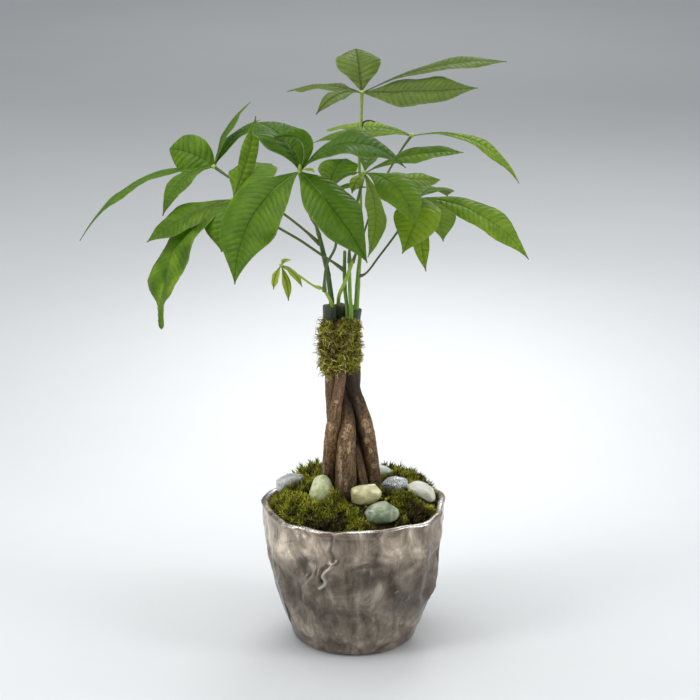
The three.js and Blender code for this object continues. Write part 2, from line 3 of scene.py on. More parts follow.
import bpy
import numpy as np
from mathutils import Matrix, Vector


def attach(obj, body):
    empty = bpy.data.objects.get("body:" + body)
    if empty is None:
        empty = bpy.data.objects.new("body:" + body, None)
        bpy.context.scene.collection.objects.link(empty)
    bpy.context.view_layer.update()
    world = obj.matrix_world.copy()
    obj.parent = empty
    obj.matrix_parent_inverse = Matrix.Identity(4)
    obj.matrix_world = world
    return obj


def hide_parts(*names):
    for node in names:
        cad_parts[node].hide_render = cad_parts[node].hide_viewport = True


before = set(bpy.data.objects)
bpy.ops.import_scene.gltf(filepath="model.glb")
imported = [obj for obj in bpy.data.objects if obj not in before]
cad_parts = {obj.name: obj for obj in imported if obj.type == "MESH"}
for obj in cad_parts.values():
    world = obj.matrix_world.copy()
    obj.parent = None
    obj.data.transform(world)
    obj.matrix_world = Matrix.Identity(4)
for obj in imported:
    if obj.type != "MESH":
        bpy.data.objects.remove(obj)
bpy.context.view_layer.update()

MM = 0.001
TAU = 2 * math.pi

# Sizes in millimetres, as in the solids
POT_HEIGHT = 119.0
FLOOR_TOP = 9.0
SOIL_TOP = 103.0
MOSS_RISE = 16.0
MOSS_EDGE = 117.0
BED_RADIUS = 68.0

# The photograph's camera: place in metres, pitch in degrees and lens in millimetres
CAMERA_PLACE = (-3.5 * MM, -1875 * MM, 816 * MM)
CAMERA_PITCH = 16.75
CAMERA_LENS = 122.4

# The floor in metres: half its side, and how far it lies under the pot
FLOOR_HALF = 9.0
FLOOR_DROP = 0.0002

# Soft boxes: name, place, target, size and power
PLANT_MIDDLE = (0, 0, 0.25)
SOFTBOXES = [
    ("overhead", (-0.2, 0.0, 1.6), PLANT_MIDDLE, (1.2, 1.0), 12),
    ("left", (-1.5, -0.9, 1.1), PLANT_MIDDLE, (0.6, 1.4), 14),
    ("right", (1.6, -0.6, 0.9), PLANT_MIDDLE, (0.5, 1.4), 10),
    ("behind", (0.5, 1.5, 1.4), (0, 0, 0.4), (0.9, 0.7), 7),
]

# Soft pools of light on the floor: place, power and spread in degrees
GLOWS = [((0.04, 0.88, 1.6), 30, 33), ((0.04, 0.44, 1.6), 26, 33), ((0.05, 3.1, 1.6), 8, 62)]

# Where the random draws start; trunks and stones count up from theirs
POT_SEED = 41
MOSS_SEED = 7
COLLAR_SEED = 19
TRUNK_SEED = 30
STONE_SEED = 50


# Camera, soft light and floor

def add_object(name, data, place=(0, 0, 0)):
    item = bpy.data.objects.new(name, data)
    item.location = place
    bpy.context.scene.collection.objects.link(item)
    return item


def add_camera():
    data = bpy.data.cameras.new("camera")
    data.lens = CAMERA_LENS
    data.sensor_width = 36
    data.clip_start = 0.05
    data.clip_end = 60
    camera = add_object("camera", data, CAMERA_PLACE)
    camera.rotation_euler = (math.radians(90 - CAMERA_PITCH), 0, 0)
    bpy.context.scene.camera = camera


def add_softbox(name, place, target, size, power):
    data = bpy.data.lights.new(name, "AREA")
    data.shape = "RECTANGLE"
    data.size, data.size_y = size
    data.energy = power
    way = Vector(target) - Vector(place)
    add_object(name, data, place).rotation_euler = way.to_track_quat("-Z", "Y").to_euler()


def add_glow(place, power, spread):
    data = bpy.data.lights.new("glow", "SPOT")
    data.energy = power
    data.spot_size = math.radians(spread)
    data.spot_blend = 1.0
    data.shadow_soft_size = 0.2
    add_object("glow", data, place)


def add_studio():
    world = bpy.data.worlds.new("studio")
    world.use_nodes = True
    background = world.node_tree.nodes["Background"]
    background.inputs["Color"].default_value = (0.93, 0.97, 1.0, 1)
    background.inputs["Strength"].default_value = 0.36
    bpy.context.scene.world = world
    for softbox in SOFTBOXES:
        add_softbox(*softbox)
    for glow in GLOWS:
        add_glow(*glow)
    bpy.context.scene.view_settings.view_transform = "Standard"


# Node helpers

class Paint:
    """A material's nodes, added one call at a time."""

    def __init__(self, name):
        self.material = bpy.data.materials.new(name)
        self.material.use_nodes = True
        self.tree = self.material.node_tree
        self.tree.nodes.clear()

    def put(self, socket, value):
        if isinstance(value, bpy.types.NodeSocket):
            self.tree.links.new(value, socket)
        elif isinstance(value, tuple) and len(value) == 3 and socket.type == "RGBA":
            socket.default_value = (*value, 1)
        else:
            socket.default_value = value

    def node(self, kind, values=None, **settings):
        node = self.tree.nodes.new(kind)
        for key, value in settings.items():
            setattr(node, key, value)
        for key, value in (values or {}).items():
            self.put(node.inputs[key], value)
        return node

    def place(self):
        return self.node("ShaderNodeTexCoord").outputs["Object"]

    def uv(self, name):
        parts = self.split(self.node("ShaderNodeUVMap", uv_map=name).outputs["UV"])
        return parts[0], parts[1]

    def join(self, x, y, z):
        return self.node("ShaderNodeCombineXYZ", {0: x, 1: y, 2: z}).outputs[0]

    def split(self, vector):
        return self.node("ShaderNodeSeparateXYZ", {0: vector}).outputs

    def math(self, operation, a, b=0.0):
        return self.node("ShaderNodeMath", {0: a, 1: b}, operation=operation).outputs[0]

    def times(self, a, b):
        return self.math("MULTIPLY", a, b)

    def plus(self, a, b):
        return self.math("ADD", a, b)

    def minus(self, a, b):
        return self.math("SUBTRACT", a, b)

    def lengthwise(self, x, y, along, stretch):
        """A place on a limb, drawn out along it."""
        return self.join(x, y, self.times(along, stretch))

    def stretch(self, vector, scale):
        node = self.node("ShaderNodeVectorMath", {0: vector, 1: scale}, operation="MULTIPLY")
        return node.outputs[0]

    def noise(self, vector, scale, detail=4, roughness=0.55, distortion=0.0):
        node = self.node("ShaderNodeTexNoise", {
            "Vector": vector, "Scale": scale, "Detail": detail,
            "Roughness": roughness, "Distortion": distortion})
        return node.outputs["Fac"]

    def cells(self, vector, scale, feature="F1"):
        node = self.node("ShaderNodeTexVoronoi", {"Vector": vector, "Scale": scale}, feature=feature)
        return node.outputs["Distance"]

    def range(self, value, low, high, to_low=0.0, to_high=1.0):
        node = self.node("ShaderNodeMapRange", {
            "Value": value, "From Min": low, "From Max": high,
            "To Min": to_low, "To Max": to_high}, interpolation_type="SMOOTHSTEP")
        return node.outputs["Result"]

    def ramp(self, value, stops):
        node = self.node("ShaderNodeValToRGB", {"Fac": value})
        elements = node.color_ramp.elements
        while len(elements) < len(stops):
            elements.new(0.5)
        for element, (position, colour) in zip(elements, stops):
            element.position = position
            element.color = (*colour, 1)
        return node.outputs["Color"]

    def mix(self, amount, a, b, blend="MIX"):
        node = self.node("ShaderNodeMix", data_type="RGBA", blend_type=blend)
        self.put(node.inputs[0], amount)
        self.put(node.inputs[6], a)
        self.put(node.inputs[7], b)
        return node.outputs[2]

    def dim(self, colour, amount):
        return self.mix(1.0, colour, self.join(amount, amount, amount), "MULTIPLY")

    def bump(self, height, distance, normal=None, strength=1.0):
        node = self.node("ShaderNodeBump", {
            "Height": height, "Distance": distance, "Strength": strength})
        if normal is not None:
            self.put(node.inputs["Normal"], normal)
        return node.outputs["Normal"]

    def surface(self, shader):
        output = self.node("ShaderNodeOutputMaterial")
        self.tree.links.new(shader, output.inputs["Surface"])
        return self.material

    def principled(self, values):
        return self.node("ShaderNodeBsdfPrincipled", values).outputs[0]

    def skin(self, values):
        return self.surface(self.principled(values))

    def thin(self, share, body, colour):
        """A surface that lets a share of the light through, in that colour."""
        through = self.node("ShaderNodeBsdfTranslucent", {"Color": colour}).outputs[0]
        return self.surface(self.node("ShaderNodeMixShader", {0: share, 1: body, 2: through}).outputs[0])


# Painted light and shade on the glaze by height, from the foot, 0, to 125 mm up, 1: darker at the waist and
# brighter at the shoulder
GLAZE_LIGHT_BAND = [(0.00, 0.95), (0.20, 0.92), (0.36, 0.48), (0.60, 0.82), (0.78, 1.58)]


# Materials

def glaze_material():
    """Dark pewter glaze, mottled brown and grey, with painted highlights on the crests and the lip and
    painted shade in the hollows.
    """
    p = Paint("pot_glaze")
    place = p.place()
    glaze_light_shade, lip_highlight = p.uv("tone")
    height = p.split(place)[2]
    patches = p.noise(place, 26, 6, 0.62, 0.6)
    smoke = p.noise(p.stretch(place, (1, 1, 0.5)), 70, 7, 0.66, 0.7)
    grain = p.noise(place, 480, 3, 0.6)
    tone = p.plus(p.times(patches, 0.5), p.times(smoke, 0.5))
    colour = p.ramp(tone, [
        (0.37, (0.066, 0.051, 0.038)), (0.45, (0.160, 0.129, 0.098)),
        (0.53, (0.290, 0.240, 0.188)), (0.62, (0.590, 0.500, 0.400))])
    # Painted light and shade by height: darker at the waist, brighter at the shoulder
    light_band = p.ramp(p.times(height, 8.0), [(at, (level, level, level)) for at, level in GLAZE_LIGHT_BAND])
    colour = p.mix(1.0, colour, light_band, "MULTIPLY")
    # Painted highlight on the crests of the creases and facets, and painted shade in the hollows
    colour = p.mix(p.times(p.range(glaze_light_shade, 0.52, 1.0), 0.75), colour, (0.66, 0.61, 0.53))
    colour = p.mix(p.times(p.range(glaze_light_shade, 0.44, 0.15), 0.70), colour, (0.040, 0.032, 0.026))
    # Painted highlight along the top of the lip, where the glaze is also smoother
    painted_lip_highlight = p.range(lip_highlight, 0.05, 0.9)
    colour = p.mix(p.times(painted_lip_highlight, 0.92), colour, (0.88, 0.84, 0.78))
    blend = p.plus(p.times(smoke, 0.7), p.times(grain, 0.3))
    rough = p.range(blend, 0.35, 0.65, 0.24, 0.40)
    rough = p.times(rough, p.range(lip_highlight, 0.05, 0.8, 1.0, 0.38))
    normal = p.bump(smoke, 0.0022, strength=0.6)
    normal = p.bump(grain, 0.00012, normal, 0.5)
    return p.skin({
        "Base Color": colour, "Metallic": 0.80, "Roughness": rough, "Normal": normal,
        "Coat Weight": 0.22, "Coat Roughness": 0.22})


def soil_material():
    p = Paint("soil")
    place = p.place()
    crumbs = p.cells(place, 600)
    colour = p.ramp(crumbs, [(0.1, (0.05, 0.034, 0.022)), (0.6, (0.022, 0.015, 0.010))])
    return p.skin({
        "Base Color": colour, "Roughness": 0.95, "Normal": p.bump(crumbs, 0.001)})


def moss_material(name, stops, translucent):
    """Needles and strands: colour by tone, darker at the root and lighter at the tip."""
    p = Paint(name)
    tone, along = p.uv("tone")
    speck = p.noise(p.place(), 900, 2)
    value = p.plus(tone, p.times(p.minus(speck, 0.5), 0.35))
    colour = p.ramp(value, stops)
    shade = p.range(along, 0.0, 0.9, 0.20, 1.2)
    colour = p.dim(colour, shade)
    body = p.principled({"Base Color": colour, "Roughness": 0.6, "Specular IOR Level": 0.22})
    return p.thin(translucent, body, colour)


def bark_material():
    """Brown bark with tan and dark lengthwise streaks, pale scars and a grey-green upper end."""
    p = Paint("bark")
    x, y = p.uv("blade")
    along, scar = p.uv("tone")
    spot = p.split(p.place())
    height = spot[2]
    aside = p.math("POWER", p.plus(spot[0], 0.002), 2.0)
    inner = p.math("SQRT", p.plus(aside, p.math("POWER", p.minus(spot[1], 0.002), 2.0)))
    grain = p.noise(p.lengthwise(x, y, along, 0.28), 150, 6, 0.64, 0.5)
    streak = p.noise(p.lengthwise(x, y, along, 0.18), 46, 5, 0.62, 0.6)
    rings = p.noise(p.join(p.times(x, 0.35), p.times(y, 0.35), along), 120, 4, 0.6)
    patches = p.noise(p.lengthwise(x, y, along, 0.4), 22, 4, 0.6, 0.8)
    mottle = p.noise(p.lengthwise(x, y, along, 0.5), 60, 5, 0.62, 0.6)
    fibre = p.noise(p.lengthwise(x, y, along, 0.2), 420, 3, 0.6)
    tone = p.plus(p.times(grain, 0.32), p.times(streak, 0.38))
    tone = p.plus(tone, p.times(fibre, 0.14))
    tone = p.plus(tone, p.times(patches, 0.16))
    base = p.ramp(tone, [
        (0.42, (0.034, 0.016, 0.007)), (0.47, (0.115, 0.060, 0.026)),
        (0.52, (0.250, 0.146, 0.066)), (0.58, (0.560, 0.360, 0.172))])
    grey = p.mix(p.range(patches, 0.55, 0.68, 0.0, 0.4), base, (0.200, 0.150, 0.095))
    red = p.mix(p.range(patches, 0.47, 0.37, 0.0, 0.6), grey, (0.260, 0.098, 0.046))
    tan = p.mix(p.range(rings, 0.54, 0.64, 0.0, 0.6), red, (0.60, 0.39, 0.18))
    tan = p.mix(p.range(mottle, 0.49, 0.60, 0.0, 0.72), tan, (0.540, 0.300, 0.090))
    tan = p.mix(p.range(mottle, 0.47, 0.38, 0.0, 0.60), tan, (0.070, 0.032, 0.016))
    ruddy = p.times(p.range(height, 0.196, 0.216), p.range(streak, 0.40, 0.58, 0.75, 0.2))
    tan = p.mix(ruddy, tan, (0.260, 0.120, 0.062))
    core = p.ramp(grain, [
        (0.40, (0.300, 0.150, 0.060)), (0.49, (0.640, 0.400, 0.200)), (0.58, (0.950, 0.700, 0.420))])
    scarred = p.mix(p.times(scar, 0.95), tan, core)
    rim = p.times(p.range(scar, 0.0, 0.4), p.range(scar, 0.95, 0.5))
    scarred = p.mix(p.times(rim, 0.55), scarred, (0.150, 0.058, 0.026))
    # Darker low down on the trunks, and painted shade between the trunks where they stand close together
    low = p.range(height, 0.128, 0.180, 0.30, 0.72)
    shaded = p.times(low, p.range(inner, 0.006, 0.018, 0.22, 1.0))
    scarred = p.dim(scarred, shaded)
    top = p.ramp(grain, [(0.40, (0.045, 0.060, 0.042)), (0.60, (0.150, 0.180, 0.115))])
    colour = p.mix(p.range(height, 0.262, 0.280), scarred, top)
    relief = p.plus(p.times(grain, 0.7), p.times(rings, 0.5))
    return p.skin({
        "Base Color": colour, "Roughness": p.range(grain, 0.3, 0.7, 0.42, 0.62),
        "Normal": p.bump(relief, 0.0015, strength=0.9), "Specular IOR Level": 0.42})


def cut_material():
    p = Paint("cut_wood")
    place = p.place()
    spread = p.noise(place, 500, 4)
    colour = p.ramp(spread, [(0.35, (0.050, 0.045, 0.030)), (0.65, (0.15, 0.135, 0.085))])
    return p.skin({
        "Base Color": colour, "Roughness": 0.85, "Normal": p.bump(spread, 0.0006)})


def shoot_material(name, stops):
    """Smooth green skin with lengthwise streaks and pale specks."""
    p = Paint(name)
    x, y = p.uv("blade")
    along, tone = p.uv("tone")
    streaks = p.noise(p.lengthwise(x, y, along, 0.08), 320, 4, 0.6)
    specks = p.range(p.cells(p.lengthwise(x, y, along, 0.5), 260), 0.05, 0.14, 1.0, 0.0)
    value = p.plus(tone, p.times(p.minus(streaks, 0.5), 0.7))
    colour = p.mix(p.times(specks, 0.25), p.ramp(value, stops), (0.42, 0.46, 0.25))
    return p.skin({
        "Base Color": colour, "Roughness": 0.42, "Normal": p.bump(streaks, 0.0003, strength=0.7),
        "Subsurface Weight": 0.15, "Subsurface Radius": (0.4, 0.8, 0.2), "Subsurface Scale": 0.002})


LEAF_MARGIN = (0.34, 0.44, 0.12)
# Side veins: spacing in mm, and how they lean and bend away from the midrib
VEIN_STEP = 4.9
VEIN_LEAN = 0.30
VEIN_BEND = 0.010


def vein_nodes(p, along, aside):
    """Distance from the nearest side vein, and how strongly side vein and midrib show."""
    a = p.times(along, 100.0)
    out = p.math("ABSOLUTE", p.times(p.minus(aside, 0.5), 100.0))
    lean = p.times(out, p.plus(p.times(out, VEIN_BEND), VEIN_LEAN))
    drift = p.noise(p.join(along, p.times(aside, 0.3), 0.0), 6, 2)
    phase = p.math("DIVIDE", p.minus(a, lean), VEIN_STEP)
    phase = p.plus(phase, p.times(drift, 1.2))
    near = p.math("ABSOLUTE", p.minus(p.math("FRACT", p.plus(phase, 100.5)), 0.5))
    vein = p.range(near, 0.0, 0.085, 1.0, 0.0)
    rib_half = p.range(along, 0.0, 1.1, 0.62, 0.22)
    rib = p.range(p.math("DIVIDE", out, rib_half), 0.55, 1.25, 1.0, 0.0)
    return near, vein, rib


def leaf_material(name, stops, vein_colour, rib_colour, rib_foot, rough, puff, through_colour, through):
    """Quilted blade with side veins, a midrib, a net of fine veins and a paler margin."""
    p = Paint(name)
    along, aside = p.uv("blade")
    if rib_foot:
        rib_colour = p.mix(p.range(along, 0.20, 0.36), rib_foot, rib_colour)
    tone, outward = p.uv("tone")
    near, vein, rib = vein_nodes(p, along, aside)
    flat = p.join(along, aside, tone)
    blotch = p.noise(flat, 7, 4, 0.6, 0.5)
    fine = p.noise(flat, 90, 3, 0.6)
    net = p.cells(flat, 75, "DISTANCE_TO_EDGE")
    net_line = p.range(net, 0.0, 0.10, 1.0, 0.0)
    value = p.plus(tone, p.times(p.minus(blotch, 0.5), 1.0))
    value = p.plus(value, p.times(p.minus(fine, 0.5), 0.25))
    colour = p.ramp(value, stops)
    colour = p.mix(p.times(net_line, 0.08), colour, vein_colour)
    colour = p.mix(p.times(vein, 0.42), colour, vein_colour)
    colour = p.mix(p.times(rib, 0.70), colour, rib_colour)
    colour = p.mix(p.range(outward, 0.93, 1.0, 0.0, 0.45), colour, LEAF_MARGIN)
    pillow = p.range(near, 0.0, 0.5, 0.0, 1.0)
    height = p.minus(p.times(pillow, 0.55), p.times(vein, 0.35))
    height = p.minus(height, p.times(rib, 1.0))
    height = p.minus(height, p.times(net_line, 0.08))
    height = p.plus(height, p.times(fine, 0.12))
    normal = p.bump(height, 0.00080 * puff)
    gloss = p.range(fine, 0.3, 0.7, rough - 0.08, rough + 0.06)
    body = p.principled({
        "Base Color": colour, "Roughness": gloss, "Normal": normal, "Specular IOR Level": 0.27})
    lit = p.mix(p.times(p.math("MAXIMUM", vein, rib), 0.5), through_colour, (0.10, 0.20, 0.01))
    return p.thin(through, body, lit)


def stone_material(name, dark, mid, light, size, veins=0.0, speck=None):
    p = Paint(name)
    place = p.place()
    cloud = p.noise(place, 1000 / size, 6, 0.62, 1.2)
    colour = p.ramp(cloud, [(0.34, dark), (0.50, mid), (0.66, light)])
    line = p.range(p.math("ABSOLUTE", p.minus(p.noise(place, 620 / size, 5, 0.6, 2.0), 0.5)),
                   0.0, 0.025, 1.0, 0.0)
    colour = p.mix(p.times(line, veins), colour, light)
    if speck:
        spots = p.noise(place, 300, 5, 0.72, 3.0)
        colour = p.mix(p.range(spots, 0.51, 0.55), colour, speck)
    dust = p.noise(place, 700, 3)
    return p.skin({
        "Base Color": colour, "Roughness": p.range(dust, 0.3, 0.7, 0.16, 0.30),
        "Normal": p.bump(cloud, 0.0004), "Coat Weight": 0.6, "Coat Roughness": 0.08,
        "Subsurface Weight": 0.25, "Subsurface Radius": (1, 1, 0.8), "Subsurface Scale": 0.003})


def floor_material():
    p = Paint("floor")
    cloud = p.noise(p.place(), 3, 3)
    colour = p.ramp(cloud, [(0.3, (0.80, 0.815, 0.83)), (0.7, (0.83, 0.84, 0.85))])
    return p.skin({"Base Color": colour, "Roughness": 0.55})


# Shapes in millimetres

class Shape:
    """Points, faces and two pairs of numbers for each point, gathered into one mesh."""

    def __init__(self):
        self.points, self.faces, self.slots, self.blade, self.tone = [], [], [], [], []
        self.count = 0

    def add(self, points, faces, slot=0, blade=None, tone=None):
        points = np.asarray(points, float).reshape(-1, 3)
        faces = np.asarray(faces, int)
        zeros = np.zeros((len(points), 2))
        self.points.append(points)
        self.faces.append(faces + self.count)
        self.slots.append(np.full(len(faces), slot))
        self.blade.append(zeros if blade is None else np.asarray(blade, float).reshape(-1, 2))
        self.tone.append(zeros if tone is None else np.asarray(tone, float).reshape(-1, 2))
        self.count += len(points)

    def cap(self, middle, ring, tone=0.0, slot=0, flip=False):
        """A fan from a new middle point to the points of a ring."""
        fan = np.stack([np.full(len(ring), self.count), np.roll(ring, -1), ring], -1) - self.count
        self.add(middle, fan[:, ::-1] if flip else fan, slot, None, np.broadcast_to(tone, 2))

    def add_closed(self, rings, slot=0, tone=None, end_tone=0.0):
        """A skin over rings of points, with a cap on the first and the last."""
        rows, sides = rings.shape[:2]
        start = self.count
        self.add(rings, grid_faces(rows, sides, wrap=True), slot, None, tone)
        for row, flip in ((0, False), (rows - 1, True)):
            ring = np.arange(sides) + row * sides + start
            self.cap(rings[row].mean(0), ring, end_tone, slot, flip)

    def build(self, name, node, materials):
        points = np.concatenate(self.points) * MM
        loops = np.concatenate([f.ravel() for f in self.faces])
        totals = np.concatenate([np.full(len(f), f.shape[1]) for f in self.faces])
        starts = np.concatenate([[0], np.cumsum(totals)[:-1]])
        mesh = bpy.data.meshes.new(name)
        mesh.vertices.add(len(points))
        mesh.vertices.foreach_set("co", points.ravel())
        mesh.loops.add(len(loops))
        mesh.loops.foreach_set("vertex_index", loops)
        mesh.polygons.add(len(totals))
        mesh.polygons.foreach_set("loop_start", starts)
        mesh.polygons.foreach_set("loop_total", totals)
        mesh.polygons.foreach_set("material_index", np.concatenate(self.slots))
        for title, pairs in (("blade", self.blade), ("tone", self.tone)):
            layer = mesh.uv_layers.new(name=title)
            layer.data.foreach_set("uv", np.concatenate(pairs)[loops].ravel())
        mesh.update(calc_edges=True)
        mesh.validate()
        mesh.shade_smooth()
        for material in materials:
            mesh.materials.append(material)
        piece = add_object(name, mesh)
        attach(piece, "root")
        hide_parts(node)


def unit(vectors):
    return vectors / np.maximum(np.linalg.norm(vectors, axis=-1, keepdims=True), 1e-9)


def side_and_up(ways):
    """Two directions square to each way and to each other."""
    side = unit(np.cross(ways, [0.31, 0.52, 0.79]))
    return side, np.cross(ways, side)


def places(x, y, z):
    return np.stack(np.broadcast_arrays(x, y, z), -1)


def around(radius, turn, height):
    """Points at a radius, a turn in radians about the upright axis, and a height."""
    return places(radius * np.cos(turn), radius * np.sin(turn), height)


def by_angle(values, sides):
    """Each value with each of the angles round a circle, as two grids."""
    return np.meshgrid(values, np.arange(sides) * TAU / sides, indexing="ij")


def travelled(line):
    """Length of a line up to each of its points."""
    return np.concatenate([[0], np.cumsum(np.linalg.norm(np.diff(line, axis=0), axis=1))])


def lattice_value(x, y, z, seed):
    n = (x * 374761393 + y * 668265263 + z * 1442695041 + seed * 974634777) & 0xFFFFFFFF
    n = ((n ^ (n >> 13)) * 1274126177) & 0xFFFFFFFF
    return ((n ^ (n >> 16)) & 0xFFFF) / 32767.5 - 1


def noise(points, size, seed):
    """Smooth value noise from -1 to 1 at points in millimetres."""
    q = np.asarray(points, float) / size
    cell = np.floor(q).astype(np.int64)
    f = q - cell
    f = f * f * (3 - 2 * f)
    total = 0
    for dx in (0, 1):
        for dy in (0, 1):
            for dz in (0, 1):
                share = (np.abs(1 - dx - f[..., 0]) * np.abs(1 - dy - f[..., 1])
                         * np.abs(1 - dz - f[..., 2]))
                corner = lattice_value(cell[..., 0] + dx, cell[..., 1] + dy, cell[..., 2] + dz, seed)
                total = total + share * corner
    return total


def smoothstep(x, low, high):
    t = np.clip((np.asarray(x, float) - low) / (high - low), 0, 1)
    return t * t * (3 - 2 * t)


def grid_faces(rows, columns, wrap=False, flip=False):
    """Quads of a lattice of rows by columns points."""
    across = columns if wrap else columns - 1
    i, j = np.meshgrid(np.arange(rows - 1), np.arange(across), indexing="ij")
    right = (j + 1) % columns
    quads = np.stack([i * columns + j, i * columns + right,
                      (i + 1) * columns + right, (i + 1) * columns + j], -1).reshape(-1, 4)
    return quads[:, ::-1] if flip else quads


def smooth_line(points, steps):
    """Centripetal curve through the points, with even steps between each two of them."""
    p = np.array(points, float)
    p = np.vstack([2 * p[0] - p[1], p, 2 * p[-1] - p[-2]])
    t = np.linspace(0, len(points) - 1, steps + 1)
    i = np.minimum(t.astype(int), len(points) - 2)
    w = (t - i)[:, None]
    a, b, c, d = p[i], p[i + 1], p[i + 2], p[i + 3]
    before, here, after = (np.sqrt(np.linalg.norm(v, axis=1))[:, None] for v in (b - a, c - b, d - c))
    leave = ((b - a) / before - (c - a) / (before + here) + (c - b) / here) * here
    reach = ((c - b) / here - (d - b) / (here + after) + (d - c) / after) * here
    cubic = 2 * b - 2 * c + leave + reach
    square = 3 * c - 3 * b - 2 * leave - reach
    return b + leave * w + square * w ** 2 + cubic * w ** 3


def limb_rings(line, radii, steps, sides, bump=None, ease=False):
    """Rings of points round a smooth line; bump(along, angle, middle) scales the radius."""
    middle = smooth_line(line, steps)
    forward = unit(np.gradient(middle, axis=0))
    along = np.linspace(0, 1, steps + 1)
    radius = np.interp(along, np.linspace(0, 1, len(radii)), radii)
    if ease:
        ends = np.minimum(1, np.sqrt(np.maximum(0, 1 - ((along - 0.985) / 0.015).clip(0) ** 2)) + 0.25)
        radius = radius * ends
    across = np.array([0.3, 1, 0.1])
    sideways = np.zeros_like(middle)
    for i, way in enumerate(forward):
        across = unit(across - way * across.dot(way))
        sideways[i] = across
    up = np.cross(forward, sideways)
    t, a = by_angle(along, sides)
    spread = radius[:, None] * (bump(t, a, middle) if bump else 1.0)
    rings = (middle[:, None] + sideways[:, None] * (spread * np.cos(a))[..., None]
             + up[:, None] * (spread * np.sin(a))[..., None])
    return rings, travelled(middle), t, a, radius


def add_limb(shape, line, radii, steps, sides, tone=0.5, slot=0, end_slot=None, bump=None,
             scar=None, ease=False):
    """A round limb along a line, with both ends closed and its own slot for the far end."""
    rings, travel, t, a, radius = limb_rings(line, radii, steps, sides, bump, ease)
    blade = np.stack([radius[:, None] * np.cos(a), radius[:, None] * np.sin(a)], -1) / 100
    mark = np.full(t.shape, tone) if scar is None else scar(t, a)
    pair = np.stack([np.broadcast_to(travel[:, None] / 100, t.shape), mark], -1)
    shape.add(rings, grid_faces(steps + 1, sides, wrap=True), slot, blade, pair)
    for row, far in ((0, False), (-1, True)):
        middle = rings[row].mean(0)
        inner = middle + (rings[row] - middle) * 0.7
        inner_ring = shape.count + sides + np.arange(sides)
        which = end_slot if far and end_slot is not None else slot
        shape.add(np.vstack([rings[row], inner]), grid_faces(2, sides, wrap=True, flip=not far), which,
                  np.vstack([blade[row], blade[row] * 0.7]), np.vstack([pair[row], pair[row]]))
        shape.cap(middle, inner_ring, pair[row][0], which, far)


def add_copies(shape, points, faces, tones, along):
    """Many small closed forms: the points of each, the faces of one and a tone for each."""
    count, size = points.shape[:2]
    every = (faces + size * np.arange(count)[:, None, None]).reshape(-1, 3)
    pair = np.stack(np.broadcast_arrays(tones[:, None], along), -1)
    shape.add(points, every, 0, None, pair)


def add_needles(shape, roots, ways, lengths, width, tones):
    """Closed three-sided spikes, wide at the root."""
    ways = unit(ways)
    side, up = side_and_up(ways)
    turns = (np.arange(3) * TAU / 3)[:, None]
    ring = roots[:, None] + side[:, None] * (width * np.cos(turns)) + up[:, None] * (width * np.sin(turns))
    tips = (roots + ways * lengths[:, None])[:, None]
    faces = np.array([[0, 1, 3], [1, 2, 3], [2, 0, 3], [0, 2, 1]])
    add_copies(shape, np.concatenate([ring, tips], 1), faces, tones, [0.25, 0.25, 0.25, 1.0])


def add_strands(shape, paths, width, tones):
    """Closed three-sided threads along paths of equal point counts."""
    count, steps, _ = paths.shape
    side, up = side_and_up(unit(np.gradient(paths, axis=1)))
    along = np.linspace(0, 1, steps)
    turns = (np.arange(3) * TAU / 3)[:, None]
    spread = side[:, :, None] * np.cos(turns) + up[:, :, None] * np.sin(turns)
    points = paths[:, :, None] + spread * (width * (1 - 0.75 * along ** 2))[:, None, None]
    quads = grid_faces(steps, 3, wrap=True)
    last = (steps - 1) * 3
    faces = np.concatenate([quads[:, [0, 1, 2]], quads[:, [0, 2, 3]],
                            [[0, 2, 1], [last, last + 1, last + 2]]])
    add_copies(shape, points.reshape(count, -1, 3), faces, tones, np.repeat(0.3 + 0.7 * along, 3))


# Pot: the solid's outline and folds with sharper creases, facets and a rolled lip

# Radius and height of the outside, the lip and the inside
POT_PROFILE = [
    (47, 0), (51.5, 3.5), (54.6, 11), (58.6, 20), (61.8, 29), (64.6, 38), (66.6, 47), (68.4, 56),
    (70, 64), (71.2, 72), (72.2, 80), (73.4, 88), (74.4, 96), (75, 104), (75, 112), (75.4, 116),
]
LIP_PROFILE = [
    (75.6, 117.2), (75.3, 118.4), (74.4, 119.2), (73.2, 119.5), (71.9, 119.2), (70.8, 118.3),
    (70.0, 116.8), (69.4, 114.6),
]
INSIDE_PROFILE = [
    (68.6, 112), (67.0, 96), (65.2, 80), (63.5, 64), (59.0, 44), (54.5, 24), (46, FLOOR_TOP),
]

